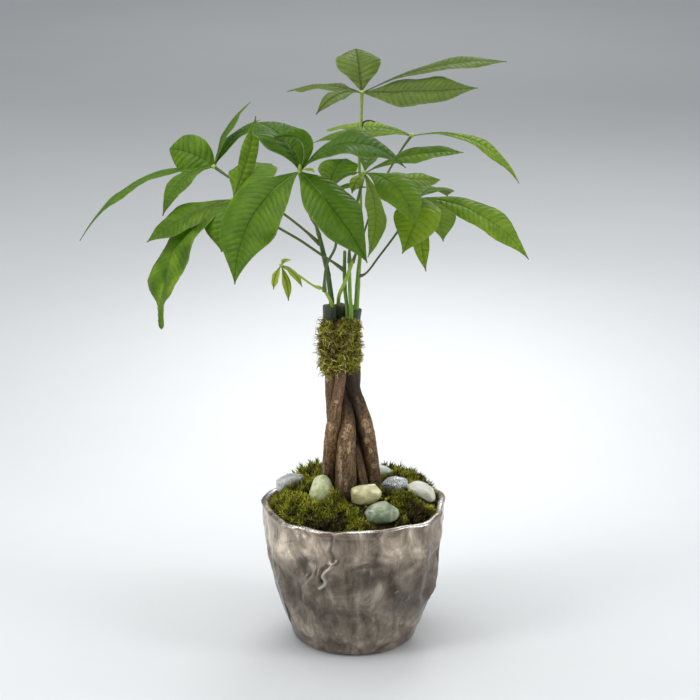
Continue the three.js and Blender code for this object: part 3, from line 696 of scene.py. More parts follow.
# Hand-pressed folds: from and to in degrees round the pot and height, width and depth
POT_FOLDS = [
    ((-104.5, 119), (-103.5, 92), 9, -1.8), ((-103.5, 91), (-112, 80), 7, 2.4),
    ((-112, 80), (-115, 68), 7, 2.2), ((-141.5, 116), (-149, 81), 17, 1.8),
    ((-149, 81), (-150, 50), 17, 2.0), ((-150, 50), (-138, 20), 15, 1.4),
    ((-126, 92), (-121, 81), 11, -3.0), ((-118, 79), (-129, 48), 10, 2.0),
    ((-137, 66), (-133, 50), 12, -2.8), ((-88, 80), (-72, 70), 22, -3.0),
    ((-100, 88), (-78, 97), 9, 1.2), ((-66, 100), (-68, 62), 13, 1.7),
    ((-52, 112), (-50, 40), 16, -1.5), ((-38, 116), (-36, 30), 15, 1.5),
    ((-28, 104), (-27, 50), 10, -1.7), ((-20, 116), (-16, 47), 13, 1.9),
    ((-92, 52), (-93, 8), 18, 1.3), ((-128, 38), (-112, 22), 18, -1.8),
    ((-62, 44), (-44, 20), 18, -1.8), ((-4, 104), (2, 70), 12, -2.0),
    ((14, 112), (10, 40), 14, 1.8), ((24, 84), (34, 60), 14, -2.6),
    ((44, 116), (40, 56), 13, 1.7), ((54, 100), (64, 72), 14, -2.4),
    ((76, 114), (70, 52), 15, 1.8), ((88, 90), (100, 70), 17, -2.8),
    ((108, 116), (112, 60), 14, 1.6), ((126, 96), (122, 60), 15, -2.2),
    ((140, 112), (144, 44), 15, 1.8), ((158, 96), (166, 66), 15, -2.4),
    ((176, 116), (178, 46), 13, 1.6), ((-168, 100), (-166, 66), 13, -1.8),
    ((24, 40), (46, 24), 17, -1.6), ((84, 44), (104, 26), 17, 1.4),
    ((150, 38), (174, 26), 16, -1.6),
]

# Thin raised creases: points in degrees and height, width and ridge height
POT_CREASES = [
    ([(-104.5, 116), (-104.5, 108), (-105.5, 102), (-102.5, 96), (-103.5, 91)], 1.5, -1.0),
    ([(-103.4, 90.6), (-105.6, 88.4), (-108, 85.4), (-109.4, 82.4), (-109.6, 80.2), (-109, 77.6),
      (-108.9, 75), (-109.5, 72.4), (-111, 69.8), (-113, 68)], 1.6, 2.0),
    ([(-107.6, 89.4), (-110.6, 86), (-112.6, 81.5), (-111.8, 77.5), (-111.6, 74)], 1.2, -1.8),
    ([(-102.8, 117), (-102.8, 108), (-103.8, 102), (-101.6, 97)], 0.9, 0.8),
    ([(-118, 79), (-120, 75.5), (-124.5, 66), (-129.5, 47)], 1.7, 0.6),
    ([(-141.5, 116), (-144, 102), (-149.5, 81), (-152.5, 59), (-148, 40), (-138, 20)], 2.2, 0.7),
    ([(-103.5, 86), (-92, 87), (-84.5, 93), (-77, 97), (-69, 97)], 2.6, 0.35),
    ([(-66, 97), (-67, 86), (-68.5, 66)], 3.0, 0.25),
    ([(-22.5, 116), (-20, 84), (-15.5, 47), (-34, 24)], 2.4, 0.7),
    ([(-139, 100.5), (-129.5, 105)], 1.3, 0.8),
    ([(-139, 96), (-133, 97)], 1.1, 0.5),
    ([(-52, 112), (-46, 90), (-50, 70)], 3.0, 0.3),
    ([(-168, 112), (-172, 88), (-165, 62)], 2.4, 0.7),
    ([(-92.5, 48), (-91.5, 34), (-92.5, 20)], 2.0, 0.35),
    ([(-70, 14), (-62, 28), (-54, 38)], 1.8, 0.45),
    ([(-61, 90), (-58, 66), (-62, 46)], 3.2, 0.2),
    ([(-117, 42), (-112, 30), (-104, 22)], 2.0, 0.4),
]
CREASE_WALKS = 12
FACETS = 80

# Radius at which marks on the pot are measured
MIDDLE_RADIUS = 68.0

# Painted shade in the hollows of the glaze: from and to in degrees and height, width and depth of tone
POT_HOLLOW_SHADE = [
    ((-127, 88), (-122, 78), 8, -0.36), ((-131, 65), (-129, 50), 8, -0.32),
    ((-73, 89), (-78, 73), 13, -0.24), ((-93, 87), (-76, 90), 5, -0.12), ((-96, 66), (-90, 50), 12, -0.08),
    ((-40, 96), (-44, 74), 9, -0.10), ((30, 82), (36, 62), 13, -0.20), ((92, 88), (100, 72), 13, -0.20),
    ((160, 92), (166, 70), 12, -0.18),
]


def half_turn(degrees):
    """The same angle between -180 and 180."""
    return (degrees + 180) % 360 - 180


def arc_offset(degrees, other):
    """Distance in mm round the pot, at its middle radius."""
    return ((other - degrees + 540) % 360 - 180) * math.pi / 180 * MIDDLE_RADIUS


def segment_distance(degrees, height, start, end):
    """Distance in mm from a straight mark on the pot."""
    sx, sy = arc_offset(degrees, start[0]), start[1] - height
    wx, wy = arc_offset(degrees, end[0]) - sx, end[1] - height - sy
    long = np.maximum(wx * wx + wy * wy, 1e-6)
    t = np.clip(-(sx * wx + sy * wy) / long, 0, 1)
    return np.hypot(sx + wx * t, sy + wy * t)


def random_creases(rng):
    """Creases like the ones in front, for the sides and back of the pot."""
    creases = []
    for k in range(CREASE_WALKS):
        degree = -8 + (k + rng.uniform(0.1, 0.9)) * 200 / CREASE_WALKS
        height = rng.uniform(30, 112)
        points = [(degree, height)]
        lean = rng.uniform(-0.5, 0.5)
        for _ in range(rng.integers(2, 5)):
            degree += lean * 9 + rng.uniform(-5, 5)
            height -= rng.uniform(7, 14)
            points.append((degree, max(6, height)))
        creases.append((points, rng.uniform(1.8, 3.0), rng.uniform(0.3, 0.8)))
    return creases


def crease_relief(degrees, height, creases):
    total = np.zeros_like(degrees)
    for points, width, ridge in creases:
        near = [segment_distance(degrees, height, start, end) for start, end in zip(points, points[1:])]
        total += ridge * np.exp(-(np.minimum.reduce(near) / width) ** 2)
    return total


def facet_relief(degrees, height, rng):
    """Soft-edged flat facets, as pressed into clay by hand."""
    seats = np.stack([rng.uniform(-180, 180, FACETS), rng.uniform(0, 120, FACETS)], -1)
    slopes = rng.normal(0, 0.040, (FACETS, 2))
    lifts = rng.normal(0, 0.22, FACETS)
    weight_sum = np.zeros_like(degrees)
    total = np.zeros_like(degrees)
    for (seat_degree, seat_height), slope, lift in zip(seats, slopes, lifts):
        dx = -arc_offset(degrees, seat_degree)
        dy = height - seat_height
        weight = np.exp(-(dx * dx + dy * dy) / 150) + 1e-12
        total += weight * (lift + dx * slope[0] + dy * slope[1])
        weight_sum += weight
    return total / weight_sum


def fold_relief(degrees, height, folds):
    total = np.zeros_like(degrees)
    for start, end, width, depth in folds:
        distance = segment_distance(degrees, height, start, end)
        total += 0.93 * depth * (1 - smoothstep(distance, 0, width))
    return total


def pot_relief(degrees, height):
    """The whole relief in mm, and the part of it painted into the glaze's colour as highlight on the
    creases and facets and shade in the hollows.
    """
    turn = np.radians(degrees)
    waves = 0.55 * np.sin(5 * turn + 1 + height / 30) + 0.4 * np.sin(9 * turn - height / 22)
    folds = fold_relief(degrees, height, POT_FOLDS)
    hollow_shade = fold_relief(degrees, height, POT_HOLLOW_SHADE)
    rng = np.random.default_rng(POT_SEED)
    creases = crease_relief(degrees, height, POT_CREASES + random_creases(rng))
    facets = facet_relief(degrees, height, rng)
    round_place = around(MIDDLE_RADIUS, turn, height)
    pits = 0.20 * noise(round_place, 9, 3) + 0.07 * noise(round_place, 4, 4)
    # Painted highlight on the creases and facets and painted shade in the hollows, for the glaze's colour
    relief_light_shade = 0.24 * creases + hollow_shade + 0.05 * facets
    return waves + folds + creases + facets + pits, relief_light_shade


# Height of the rim round the pot: degrees and mm
RIM_HEIGHTS = [
    (-180, 119.6), (-160, 120.4), (-146, 119.6), (-139, 117.9), (-122, 118.2), (-104.5, 117.8),
    (-97, 119.7), (-84, 120.6), (-70, 120.3), (-57, 120.0), (-45, 118.3), (-27, 119.2), (-15, 119.3),
    (0, 120.3), (30, 119.0), (60, 120.2), (90, 118.8), (120, 120.0), (150, 118.9), (180, 119.6),
]

# Heights of the bead on the lip, the groove under it and the painted highlight along the lip
BEAD_AT = 117.4
GROOVE_AT = 113.2
LIP_HIGHLIGHT_AT = 118.9

# Stretches of the lip with a painted highlight: middle in degrees and half the length
LIP_HIGHLIGHTS = [(-123, 15), (-86, 9), (-49, 13), (-8, 9), (70, 16), (150, 14)]


def rim_dip(degrees):
    return np.interp(half_turn(degrees), *zip(*RIM_HEIGHTS)) - POT_HEIGHT


def make_pot(glaze):
    sides = 400
    degrees = np.arange(sides) * 360 / sides
    outside = smooth_line([(r, z, 0) for r, z in POT_PROFILE], 150)[:, :2]
    radius, height = np.concatenate([outside, LIP_PROFILE, INSIDE_PROFILE]).T
    rows = len(radius)
    share = np.interp(np.arange(rows), [len(outside) + 3, len(outside) + 9], [1, 0])[:, None]
    d, r = np.meshgrid(degrees, radius)
    _, z = np.meshgrid(degrees, height)
    relief, relief_light_shade = pot_relief(d, z)
    bead = 0.5 * np.exp(-((z - BEAD_AT) / 1.7) ** 2) - 0.45 * np.exp(-((z - GROOVE_AT) / 1.8) ** 2)
    r = r + relief * smoothstep(z, 2, 20) * share + bead * (share > 0.99)
    points = around(r, np.radians(d), z + rim_dip(d) * smoothstep(z, 108, 117))
    # Painted highlight and shade from the relief, for the glaze's colour
    glaze_light_shade = 0.45 + relief_light_shade * share
    # Painted highlight along the top of the lip, strongest on the listed stretches
    shine = sum(np.exp(-((half_turn(d) - middle) / half) ** 4) for middle, half in LIP_HIGHLIGHTS)
    lip_highlight = np.exp(-((z - LIP_HIGHLIGHT_AT) / 0.9) ** 2) * (0.24 + 0.30 * noise(points, 14, 8) + 0.75 * shine)
    shape = Shape()
    shape.add(points, grid_faces(rows, sides, wrap=True), 0, None, np.stack([glaze_light_shade, lip_highlight], -1))
    ring = np.arange(sides)
    shape.cap((0, 0, 0), ring)
    shape.cap((0, 0, FLOOR_TOP), ring + (rows - 1) * sides, flip=True)
    shape.build("pot_glazed", "pot", [glaze])


# Moss: a cushion of leafy sprigs

SPRIGS = 3900
SPRIG_NEEDLES = 7
GROUND_TONE = 0.15

# Tall sprays at the back of the bed: x and half the width
SPRAYS = [(-39, 11), (50, 16)]


def moss_height(x, y):
    share = np.hypot(x, y) / BED_RADIUS
    steep = 2.4 + 4.6 * smoothstep(y, -50, 10)
    tufts = 0.9 * np.sin(x / 4.1 + 1) * np.cos(y / 4.7) + 0.7 * np.sin(x / 7.3 - y / 5.9)
    return MOSS_EDGE + MOSS_RISE * (1 - np.minimum(1, share) ** steep) + tufts


def clump(x, y):
    place = places(x, y, 0.0)
    return noise(place, 7, 11) * 0.6 + noise(place, 3.2, 12) * 0.4


def stone_gap(stone, x, y, reach):
    """How far a place lies from a stone's middle, seen from above and a little in front; 1 at its rim."""
    (at_x, at_y, _), (half_x, half_y, _) = stone["at"], stone["half"]
    beyond = np.where(y < at_y, reach, 1.0)
    return np.hypot((x - at_x) / half_x, (y - at_y) / (half_y * beyond))


def hollow(x, y):
    """Depth of the dips in which the stones lie, longer towards the front."""
    depth = np.zeros_like(x)
    for stone in STONES.values():
        dip = stone.get("dip", 2.5) * (1 - smoothstep(stone_gap(stone, x, y, 2.6), 0.75, 1.45))
        depth = np.maximum(depth, dip)
    return depth


def add_sprigs(shape, rng, roots, ways, heights, needle, width, tones, rise):
    """Short stems ringed with needles, fuller towards the tip."""
    count = len(roots)
    ways = unit(ways)
    side, up = side_and_up(ways)
    k = np.arange(SPRIG_NEEDLES)
    turn = k * 2.4 + rng.uniform(0, TAU, (count, 1))
    share = 0.30 + 0.70 * k / (SPRIG_NEEDLES - 1)
    seats = roots[:, None] + ways[:, None] * (heights[:, None] * share[None])[..., None]
    out = side[:, None] * np.cos(turn)[..., None] + up[:, None] * np.sin(turn)[..., None]
    rise = (rise + 0.9 * share ** 2)[None, :, None]
    direction = out + ways[:, None] * rise + rng.normal(0, 0.18, out.shape)
    lengths = needle * (1.1 - 0.35 * share)[None] * rng.uniform(0.75, 1.25, (count, SPRIG_NEEDLES))
    tone = tones[:, None] + rng.normal(0, 0.15, (count, SPRIG_NEEDLES)) + 0.22 * (share[None] - 0.6)
    add_needles(shape, seats.reshape(-1, 3), direction.reshape(-1, 3), lengths.ravel(), width, tone.ravel())
    add_needles(shape, roots, ways, heights * 1.02, width * 1.2, tones - 0.2)


def add_moss_ground(shape):
    """The cushion under the sprigs, with a skirt down to the soil."""
    rings, sides = 44, 120
    s, a = by_angle(np.linspace(0, 1, rings)[1:], sides)
    x, y = BED_RADIUS * s * np.cos(a), BED_RADIUS * s * np.sin(a)
    z = moss_height(x, y) - 2.0 + 0.5 * clump(x, y) - hollow(x, y)
    skirt = around(BED_RADIUS - 0.8, a[:1], SOIL_TOP + 1.0)
    points = np.concatenate([places(x, y, z), skirt])
    tone = np.full((rings, sides, 2), GROUND_TONE)
    shape.add(points, grid_faces(rings, sides, wrap=True, flip=True), 0, None, tone)
    ring = np.arange(sides)
    shape.cap((0, 0, moss_height(0.0, 0.0) - 1.2), ring, GROUND_TONE, flip=True)
    shape.cap((0, 0, SOIL_TOP + 1.0), ring + (rings - 1) * sides, GROUND_TONE)


def sprig_seats(rng):
    """Places on the bed that no trunk or stone covers."""
    radius = (BED_RADIUS - 0.4) * np.sqrt(rng.uniform(0, 1, SPRIGS))
    turn = rng.uniform(0, TAU, SPRIGS)
    x, y = radius * np.cos(turn), radius * np.sin(turn)
    covered = np.zeros(SPRIGS, bool)
    for line, radii in TRUNKS.values():
        foot_x, foot_y, _ = line[1]
        covered |= np.hypot(x - foot_x, y - foot_y) < radii[1]
    for stone in STONES.values():
        covered |= stone_gap(stone, x, y, stone.get("clear", 1.55)) < 0.96
    return x[~covered], y[~covered]


def sprig_ways(rng, x, y):
    """Upward ways that lean downhill, off the clumps and in a slow swirl."""
    slope = 0.8
    lean_x = (moss_height(x - slope, y) - moss_height(x + slope, y)) / (2 * slope)
    lean_y = (moss_height(x, y - slope) - moss_height(x, y + slope)) / (2 * slope)
    push_x = clump(x - 1, y) - clump(x + 1, y)
    push_y = clump(x, y - 1) - clump(x, y + 1)
    swirl = 5.0 * noise(places(x, y, 9.0), 13, 14)
    ways = places(lean_x * 0.6 + push_x * 0.3 + 0.6 * np.cos(swirl),
                  lean_y * 0.6 + push_y * 0.3 + 0.6 * np.sin(swirl), 1.0)
    ways += rng.normal(0, 0.42, ways.shape)
    ways[:, 2] = np.maximum(ways[:, 2], 0.25)
    return ways


def make_moss_bed(materials):
    rng = np.random.default_rng(MOSS_SEED)
    shape = Shape()
    add_moss_ground(shape)
    x, y = sprig_seats(rng)
    count = len(x)
    ways = sprig_ways(rng, x, y)
    beside = np.minimum.reduce([stone_gap(stone, x, y, 1.6) for stone in STONES.values()])
    hemmed = 1 - smoothstep(beside, 1.0, 1.7)
    lump = clump(x, y)
    edge = np.hypot(x, y) / BED_RADIUS
    back = smoothstep(y, 5, 45) * smoothstep(edge, 0.6, 0.95)
    front = smoothstep(edge, 0.90, 0.98) * (1 - back)
    spray = sum(np.exp(-((x - middle) / half) ** 2) for middle, half in SPRAYS)
    heights = 4.4 + 1.6 * lump + 1.6 * back + 3.2 * spray * smoothstep(y, 14, 34)
    heights = heights * rng.uniform(0.65, 1.35, count) * (1 - 0.10 * front) * (1 - 0.6 * hemmed)
    z = moss_height(x, y) - 2.4 + 0.5 * lump - 0.4 * front - 1.2 * hemmed - hollow(x, y)
    wide_clumps = noise(places(x, y, 0.0), 16, 15)
    # Painted shade: darker in the low places between clumps and along the front rim, behind the lip
    tones = 0.40 + 0.25 * lump + 0.45 * wide_clumps + rng.normal(0, 0.17, count) - 0.16 * front
    tones = np.where(rng.uniform(size=count) < 0.07, 0.02, tones)
    needles = 6.6 * (1 - 0.6 * hemmed)[:, None]
    add_sprigs(shape, rng, places(x, y, z), ways, np.maximum(heights, 1.2), needles, 0.56, tones, 1.3)
    shape.build("moss_bed_turf", "moss_bed", materials)


# Collar: middle from above, depth against width, and height and radius of its core
COLLAR_X, COLLAR_Y = -11, 1
COLLAR_DEPTH = 1.13
COLLAR_PROFILE = [(233, 10), (237, 13), (245, 14.6), (254, 14.6), (265, 14), (272, 13), (276.5, 10.5)]
STRANDS = 1500
STRAND_STEPS = 10
STRAND_LOW, STRAND_HIGH = 229, 281
COLLAR_SPRIGS = 1000

# Sprigs over the cut tops at the front: count, middle and spread
CROWN_SPRIGS = 160
CROWN_MIDDLE = (-4, -14.5, 276)
CROWN_SPREAD = (8, 1.5, 5)

# Rise of the collar's lower edge round it, in degrees and mm
COLLAR_EDGE = [(-180, 0), (-150, -1.5), (-122, 1), (-98, 6), (-74, 7), (-50, 3), (-20, 4), (30, 1), (85, 3),
               (140, -1), (180, 0)]


def on_collar(radius, turn, height):
    """A place on the collar, whose rings hang lowest at the left."""
    hang = np.interp(half_turn(np.degrees(turn)), *zip(*COLLAR_EDGE))
    hang = hang * (1 - 0.85 * smoothstep(height, 234, 262))
    return places(radius * np.cos(turn) + COLLAR_X, radius * np.sin(turn) * COLLAR_DEPTH + COLLAR_Y,
                  height + hang)


def add_collar_core(shape):
    """The lumpy body under the strands."""
    sides = 90
    profile = smooth_line([(r, z, 0) for z, r in COLLAR_PROFILE], 50)[:, :2]
    turns = np.radians(np.arange(sides) * 360 / sides)
    turn, r = np.meshgrid(turns, profile[:, 0])
    _, z = np.meshgrid(turns, profile[:, 1])
    wide = 1.5 * np.sin(3 * turn + z / 6) + 1.0 * np.cos(7 * turn - z / 5)
    place = around(18, turn, z)
    r = r + wide - 1.9 + 1.6 * noise(place, 5, 21) + 0.8 * noise(place, 2.4, 22)
    tone = np.stack([0.12 + 0.2 * noise(place, 4, 23), np.full(turn.shape, 0.30)], -1)
    shape.add_closed(on_collar(r, turn, z), 0, tone, 0.2)


def collar_seats(rng, count, low, high):
    """Places on the collar's body, and the way out at each."""
    height = rng.uniform(low, high, count)
    turn = rng.uniform(0, TAU, count)
    radius = np.interp(height, *zip(*COLLAR_PROFILE)) + 0.2
    return on_collar(radius, turn, height), around(1.0, turn, 0.0)


def strand_paths(rng, spot, out):
    """Threads that wander over the collar, loosest at the left."""
    count = len(spot)
    sideways = np.cross(out, [0, 0, 1])
    lean = rng.uniform(-1, 1, (count, 1))
    way = unit(sideways * rng.choice([-1, 1], (count, 1)) * rng.uniform(0.2, 1, (count, 1))
               + np.array([0, 0, 1]) * lean + out * rng.uniform(0.0, 0.7, (count, 1)))
    leftward = np.clip(-out[:, 0], 0, 1)
    rightward = np.clip(out[:, 0], 0, 1)
    loose = 14.2 - 1.8 * rightward
    loose = loose + (6.5 + 4.0 * leftward - 3.5 * rightward) * rng.uniform(0, 1, count) ** 2.6
    paths = [spot]
    for _ in range(STRAND_STEPS - 1):
        x, y = paths[-1][:, 0] - COLLAR_X, paths[-1][:, 1] - COLLAR_Y
        away = unit(places(x, y, 0.0))
        pull = np.where(np.hypot(x, y / COLLAR_DEPTH) > loose, -0.55, 0.14)[:, None]
        way = unit(way + rng.normal(0, 0.46, way.shape) + away * pull)
        paths.append(paths[-1] + way * rng.uniform(0.9, 1.8, (count, 1)))
    paths = np.stack(paths, 1)
    paths[:, :, 2] = np.clip(paths[:, :, 2], STRAND_LOW, STRAND_HIGH)
    return paths


def make_moss_collar(materials):
    rng = np.random.default_rng(COLLAR_SEED)
    shape = Shape()
    add_collar_core(shape)

    paths = strand_paths(rng, *collar_seats(rng, STRANDS, 232, 277))
    tones = np.where(rng.uniform(size=STRANDS) < 0.42, rng.uniform(0.0, 0.30, STRANDS),
                     rng.uniform(0.38, 1.05, STRANDS))
    add_strands(shape, paths, 0.42, tones)

    spot, out = collar_seats(rng, COLLAR_SPRIGS, 233, 276)
    ways = out + rng.normal(0, 0.65, out.shape)
    crown = np.array(CROWN_MIDDLE) + rng.uniform(-1, 1, (CROWN_SPRIGS, 3)) * CROWN_SPREAD
    spot = np.concatenate([spot, crown])
    ways = np.concatenate([ways, np.array([0, -0.8, 0.3]) + rng.normal(0, 0.5, crown.shape)])
    heights = rng.uniform(2.0, 5.0, len(spot))
    add_sprigs(shape, rng, spot, ways, heights, 2.2, 0.26, rng.uniform(0.2, 1.0, len(spot)), 0.35)
    shape.build("moss_collar_strands", "moss_collar", materials)


# Polished stones: middle, half sizes and turn as in the solids, and how far moss dips and keeps clear

STONES = {
    "stone_lavender": dict(at=(-56, 24, 127.4), half=(13.4, 8, 6), turn=(10, -14, 20), dip=4.6),
    "stone_jade": dict(at=(-27.4, -14, 134.6), half=(10.4, 6.4, 12.8), turn=(-8, 4, 0), taper=0.2, dip=8.5),
    "stone_olive": dict(at=(9.4, -26, 135.4), half=(13.4, 8.5, 9.2), turn=(0, -12, 0), clear=1.2),
    "stone_blue_green": dict(at=(22.6, -42, 124.8), half=(14, 10, 9.2), turn=(0, -4, 12), taper=0.16, dip=4,
                             clear=1.15),
    "stone_blue_grey": dict(at=(34, 6, 132.6), half=(12.4, 8, 6), turn=(0, 2, 0), dip=3.5),
    "stone_cream": dict(at=(57, 2, 127.6), half=(13.4, 8.5, 7), turn=(0, 28, 0)),
    "stone_pale_green": dict(at=(23.4, 38, 132.4), half=(9, 7, 5.4), turn=(0, 0, 0), dip=4.5),
}


def turn_matrix(turn):
    """Turns about X, then Y, then Z of the turned axes."""
    x, y, z = (math.radians(v) for v in turn)
    about_x = np.array([[1, 0, 0], [0, math.cos(x), -math.sin(x)], [0, math.sin(x), math.cos(x)]])
    about_y = np.array([[math.cos(y), 0, math.sin(y)], [0, 1, 0], [-math.sin(y), 0, math.cos(y)]])
    about_z = np.array([[math.cos(z), -math.sin(z), 0], [math.sin(z), math.cos(z), 0], [0, 0, 1]])
    return about_x @ about_y @ about_z


def make_stone(name, material, seed):
    at, half, turn = (STONES[name][key] for key in ("at", "half", "turn"))
    taper = STONES[name].get("taper", 0)
    rings, sides = 44, 72
    rng = np.random.default_rng(seed)
    t, a = by_angle(np.linspace(-1, 1, rings) * math.radians(88), sides)
    lump = 1 + 0.05 * np.sin(2 * a + half[0]) + 0.04 * np.cos(3 * a + half[2])
    flat = np.cos(t) ** 0.8 * lump * (1 - taper * np.sin(t))
    points = around(flat, a, np.sin(t)) * half
    way = unit(points)
    for facet in unit(rng.normal(0, 1, (11, 3))):
        reach = (points @ facet).max() * rng.uniform(0.80, 0.94)
        over = np.maximum(0, points @ facet - reach)
        points = points - facet * (0.92 * over)[..., None]
    rough = 0.30 * noise(points + 40 * seed, 9, seed) + 0.12 * noise(points, 4.5, seed)
    points = points + way * rough[..., None]
    points = points @ turn_matrix(turn).T + np.array(at)
    shape = Shape()
    shape.add_closed(points)
    shape.build(name + "_polished", name, [material])


# Trunks from the buried end to the cut top, each with a line and radii

TRUNKS = {
    "trunk_front_left": (
        [(-21, 0, 78), (-21, -0.5, 112), (-21.4, -2, 139), (-20.8, -5, 157), (-19.6, -8, 169),
         (-18.6, -9.2, 182), (-16.8, -9.6, 195), (-14.9, -9.6, 206), (-12.9, -9.6, 218),
         (-10.6, -9.8, 237), (-6.8, -10.6, 260), (-3.6, -9.8, 281)],
        [5.8, 6.1, 5.8, 5.9, 5.9, 5.9, 5.6, 4.9, 4.5, 4.6, 4.8, 5.2]),
    "trunk_front_right": (
        [(17, 2, 76), (17, 2, 112), (16.6, 2, 136), (15, 1.4, 148), (12.8, 0.6, 163),
         (10.8, -0.4, 178), (8.4, -0.6, 189), (4.6, 0.2, 202), (1.2, 1.4, 213), (-2.2, 2.6, 227),
         (-4.4, 3.4, 242), (-1.4, 3.6, 264), (1.2, 3, 286)],
        [6.2, 6.4, 6.4, 6.7, 6.9, 6.9, 6.7, 6.0, 5.6, 5.6, 5.2, 4.9, 4.9]),
    "trunk_front_centre": (
        [(-6, -14, 72), (-6, -14, 108), (-6.4, -14, 133), (-7, -13, 149), (-6.8, -11.5, 167),
         (-6, -9, 182), (-6.2, -4, 196), (-7.2, 3, 210), (-9.4, 12.5, 231), (-10.6, 11, 262),
         (-11.4, 8.5, 288)],
        [7.4, 9.0, 9.4, 8.9, 8.1, 7.4, 6.2, 5.2, 4.9, 4.8, 4.7]),
    "trunk_back_right": (
        [(8, -7, 80), (8, -7.4, 112), (7.4, -7.6, 134), (4.6, -6, 149), (1.4, -2, 165), (-1.4, 6, 183),
         (-1.2, 13, 203), (0.8, 13.2, 226), (-0.6, 11.4, 252), (-0.8, 11.4, 286)],
        [4.6, 4.9, 4.9, 4.9, 4.9, 5.0, 4.8, 4.7, 4.4, 4.4]),
    "trunk_back_left": (
        [(-12, 17, 82), (-12, 16, 112), (-12.4, 14.5, 136), (-16.4, 13, 169), (-19.3, 8.5, 203),
         (-19.9, 5, 229), (-20.6, 2.6, 260), (-20.3, 1.4, 289)],
        [5.0, 5.4, 5.4, 5.0, 4.5, 4.5, 5.0, 5.7]),
}

# Steps along a trunk, and the length in mm by which a scar's length becomes a share of it
TRUNK_STEPS = 260
SCAR_SPAN = 183

# Scars that face the front: height in millimetres, degrees from the front, length and width
SCARS = {
    "trunk_front_left": [(211, 10, 5, 22), (190, -12, 5, 34), (178, -38, 8, 16), (150, -30, 14, 12)],
    "trunk_front_right": [(209, 30, 6, 20), (190, 22, 5, 26), (183, 34, 4, 24), (176, 8, 4, 18),
                          (166, 26, 4, 16), (152, 34, 4, 20), (141, 4, 5, 16)],
    "trunk_front_centre": [(187, 24, 6, 26), (181, 4, 5, 24), (163, -26, 16, 12), (150, -14, 22, 12),
                           (172, 34, 7, 12), (140, 16, 9, 10)],
    "trunk_back_right": [(146, 10, 12, 14), (138, 24, 8, 14)],
    "trunk_back_left": [(228, -20, 6, 20)],
}


def make_trunk(name, materials, seed):
    line, radii = TRUNKS[name]
    rng = np.random.default_rng(seed)
    levels = smooth_line(line, TRUNK_STEPS)[:, 2]
    shares = np.linspace(0, 1, TRUNK_STEPS + 1)
    scars = [(rng.uniform(0.25, 0.8), rng.uniform(-1.7, 1.7), rng.uniform(0.006, 0.018),
              rng.uniform(0.14, 0.40)) for _ in range(10)]
    for height, turn, long, wide in SCARS[name]:
        scars.append((np.interp(height, levels, shares), math.pi + math.radians(turn),
                      long / SCAR_SPAN, math.radians(1.3 * wide)))

    def spots(t, a):
        total = np.zeros(t.shape)
        local = around(5, a, 210 * t) + 60 * seed
        ragged = 1 + 1.1 * noise(local, 2.6, seed + 5) + 0.7 * noise(local, 1.2, seed + 6)
        for along, angle, tall, wide in scars:
            turn = (a - angle + math.pi) % TAU - math.pi
            beyond = ((t - along) / tall) ** 2 + (turn / wide) ** 2
            total = np.maximum(total, np.exp(-beyond / np.maximum(0.2, ragged)))
        return smoothstep(total, 0.24, 0.74)

    def bark(t, a, middle):
        gnarl = 0.05 * np.sin(2 * a + 9 * t) * np.cos(3 * a - 14 * t)
        local = around(6, a, 210 * t) + 100 * seed
        furrow = np.abs(noise(local * [1, 1, 0.22], 1.9, seed))
        furrow = furrow + 0.5 * np.abs(noise(local * [1, 1, 0.3], 1.0, seed + 1))
        wrinkle = noise(local * [0.3, 0.3, 1], 1.5, seed + 2)
        lumps = noise(local * [1, 1, 0.5], 6, seed + 3)
        return 1 + gnarl + 0.045 * lumps - 0.05 * furrow + 0.016 * wrinkle + 0.06 * spots(t, a)

    shape = Shape()
    add_limb(shape, line, radii, TRUNK_STEPS, 72, end_slot=1, bump=bark, scar=spots)
    shape.build(name + "_bark", name, materials)


# Green shoots that stand in the cut tops: line, radii and tone

SHOOTS = {
    "shoot_left": (
        [(-18.2, 2.6, 281), (-18.6, 2.4, 292), (-21.2, 1, 314), (-25, 0.4, 333), (-28.8, 0, 350)],
        [2.0, 2.2, 2.1, 2.0, 1.6], 0.34),
    "shoot_left_young": (
        [(-18.4, -0.9, 281), (-18.3, -1.9, 291), (-21.5, -8, 300), (-25.2, -10, 306), (-28.4, -11, 308)],
        [1.3, 1.4, 1.3, 1.3, 1.1], 0.85),
    "shoot_back": (
        [(-12, 7.6, 280), (-13, 6.2, 291), (-12.2, -1, 299), (-9.8, -8.5, 307), (-5.6, -13, 318),
         (-1.2, -12, 331)], [1.5, 1.6, 1.5, 1.5, 1.5, 1.4], 0.80),
    "shoot_centre": (
        [(-5.4, -8.4, 273), (-5.8, -7.8, 288), (-7.6, -5, 306), (-8, -2, 320), (-7.8, 1, 336)],
        [1.6, 1.6, 1.5, 1.5, 1.3], 0.52),
    "shoot_front": (
        [(-2.4, -11.2, 273), (-2.6, -11, 288), (-3.6, -7, 304), (-3.8, -4, 318), (-3.8, -3.4, 330)],
        [1.6, 1.6, 1.5, 1.4, 1.3], 0.66),
    "shoot_right": (
        [(1.4, 2.6, 277), (1.8, 1.8, 289), (3.2, 1.6, 314), (4.6, 3, 331), (5.2, 5, 378), (4, 5, 412),
         (5.2, 5, 436)], [2.1, 2.2, 1.9, 1.5, 1.1, 1.1, 1.2], 0.66),
}
CURL_LINE = [(4.8, 5, 434), (7.5, 4.6, 441), (12, 4.6, 442.4), (17, 5, 441)]
CURL_RADII = [1.0, 0.8, 0.6, 0.5]


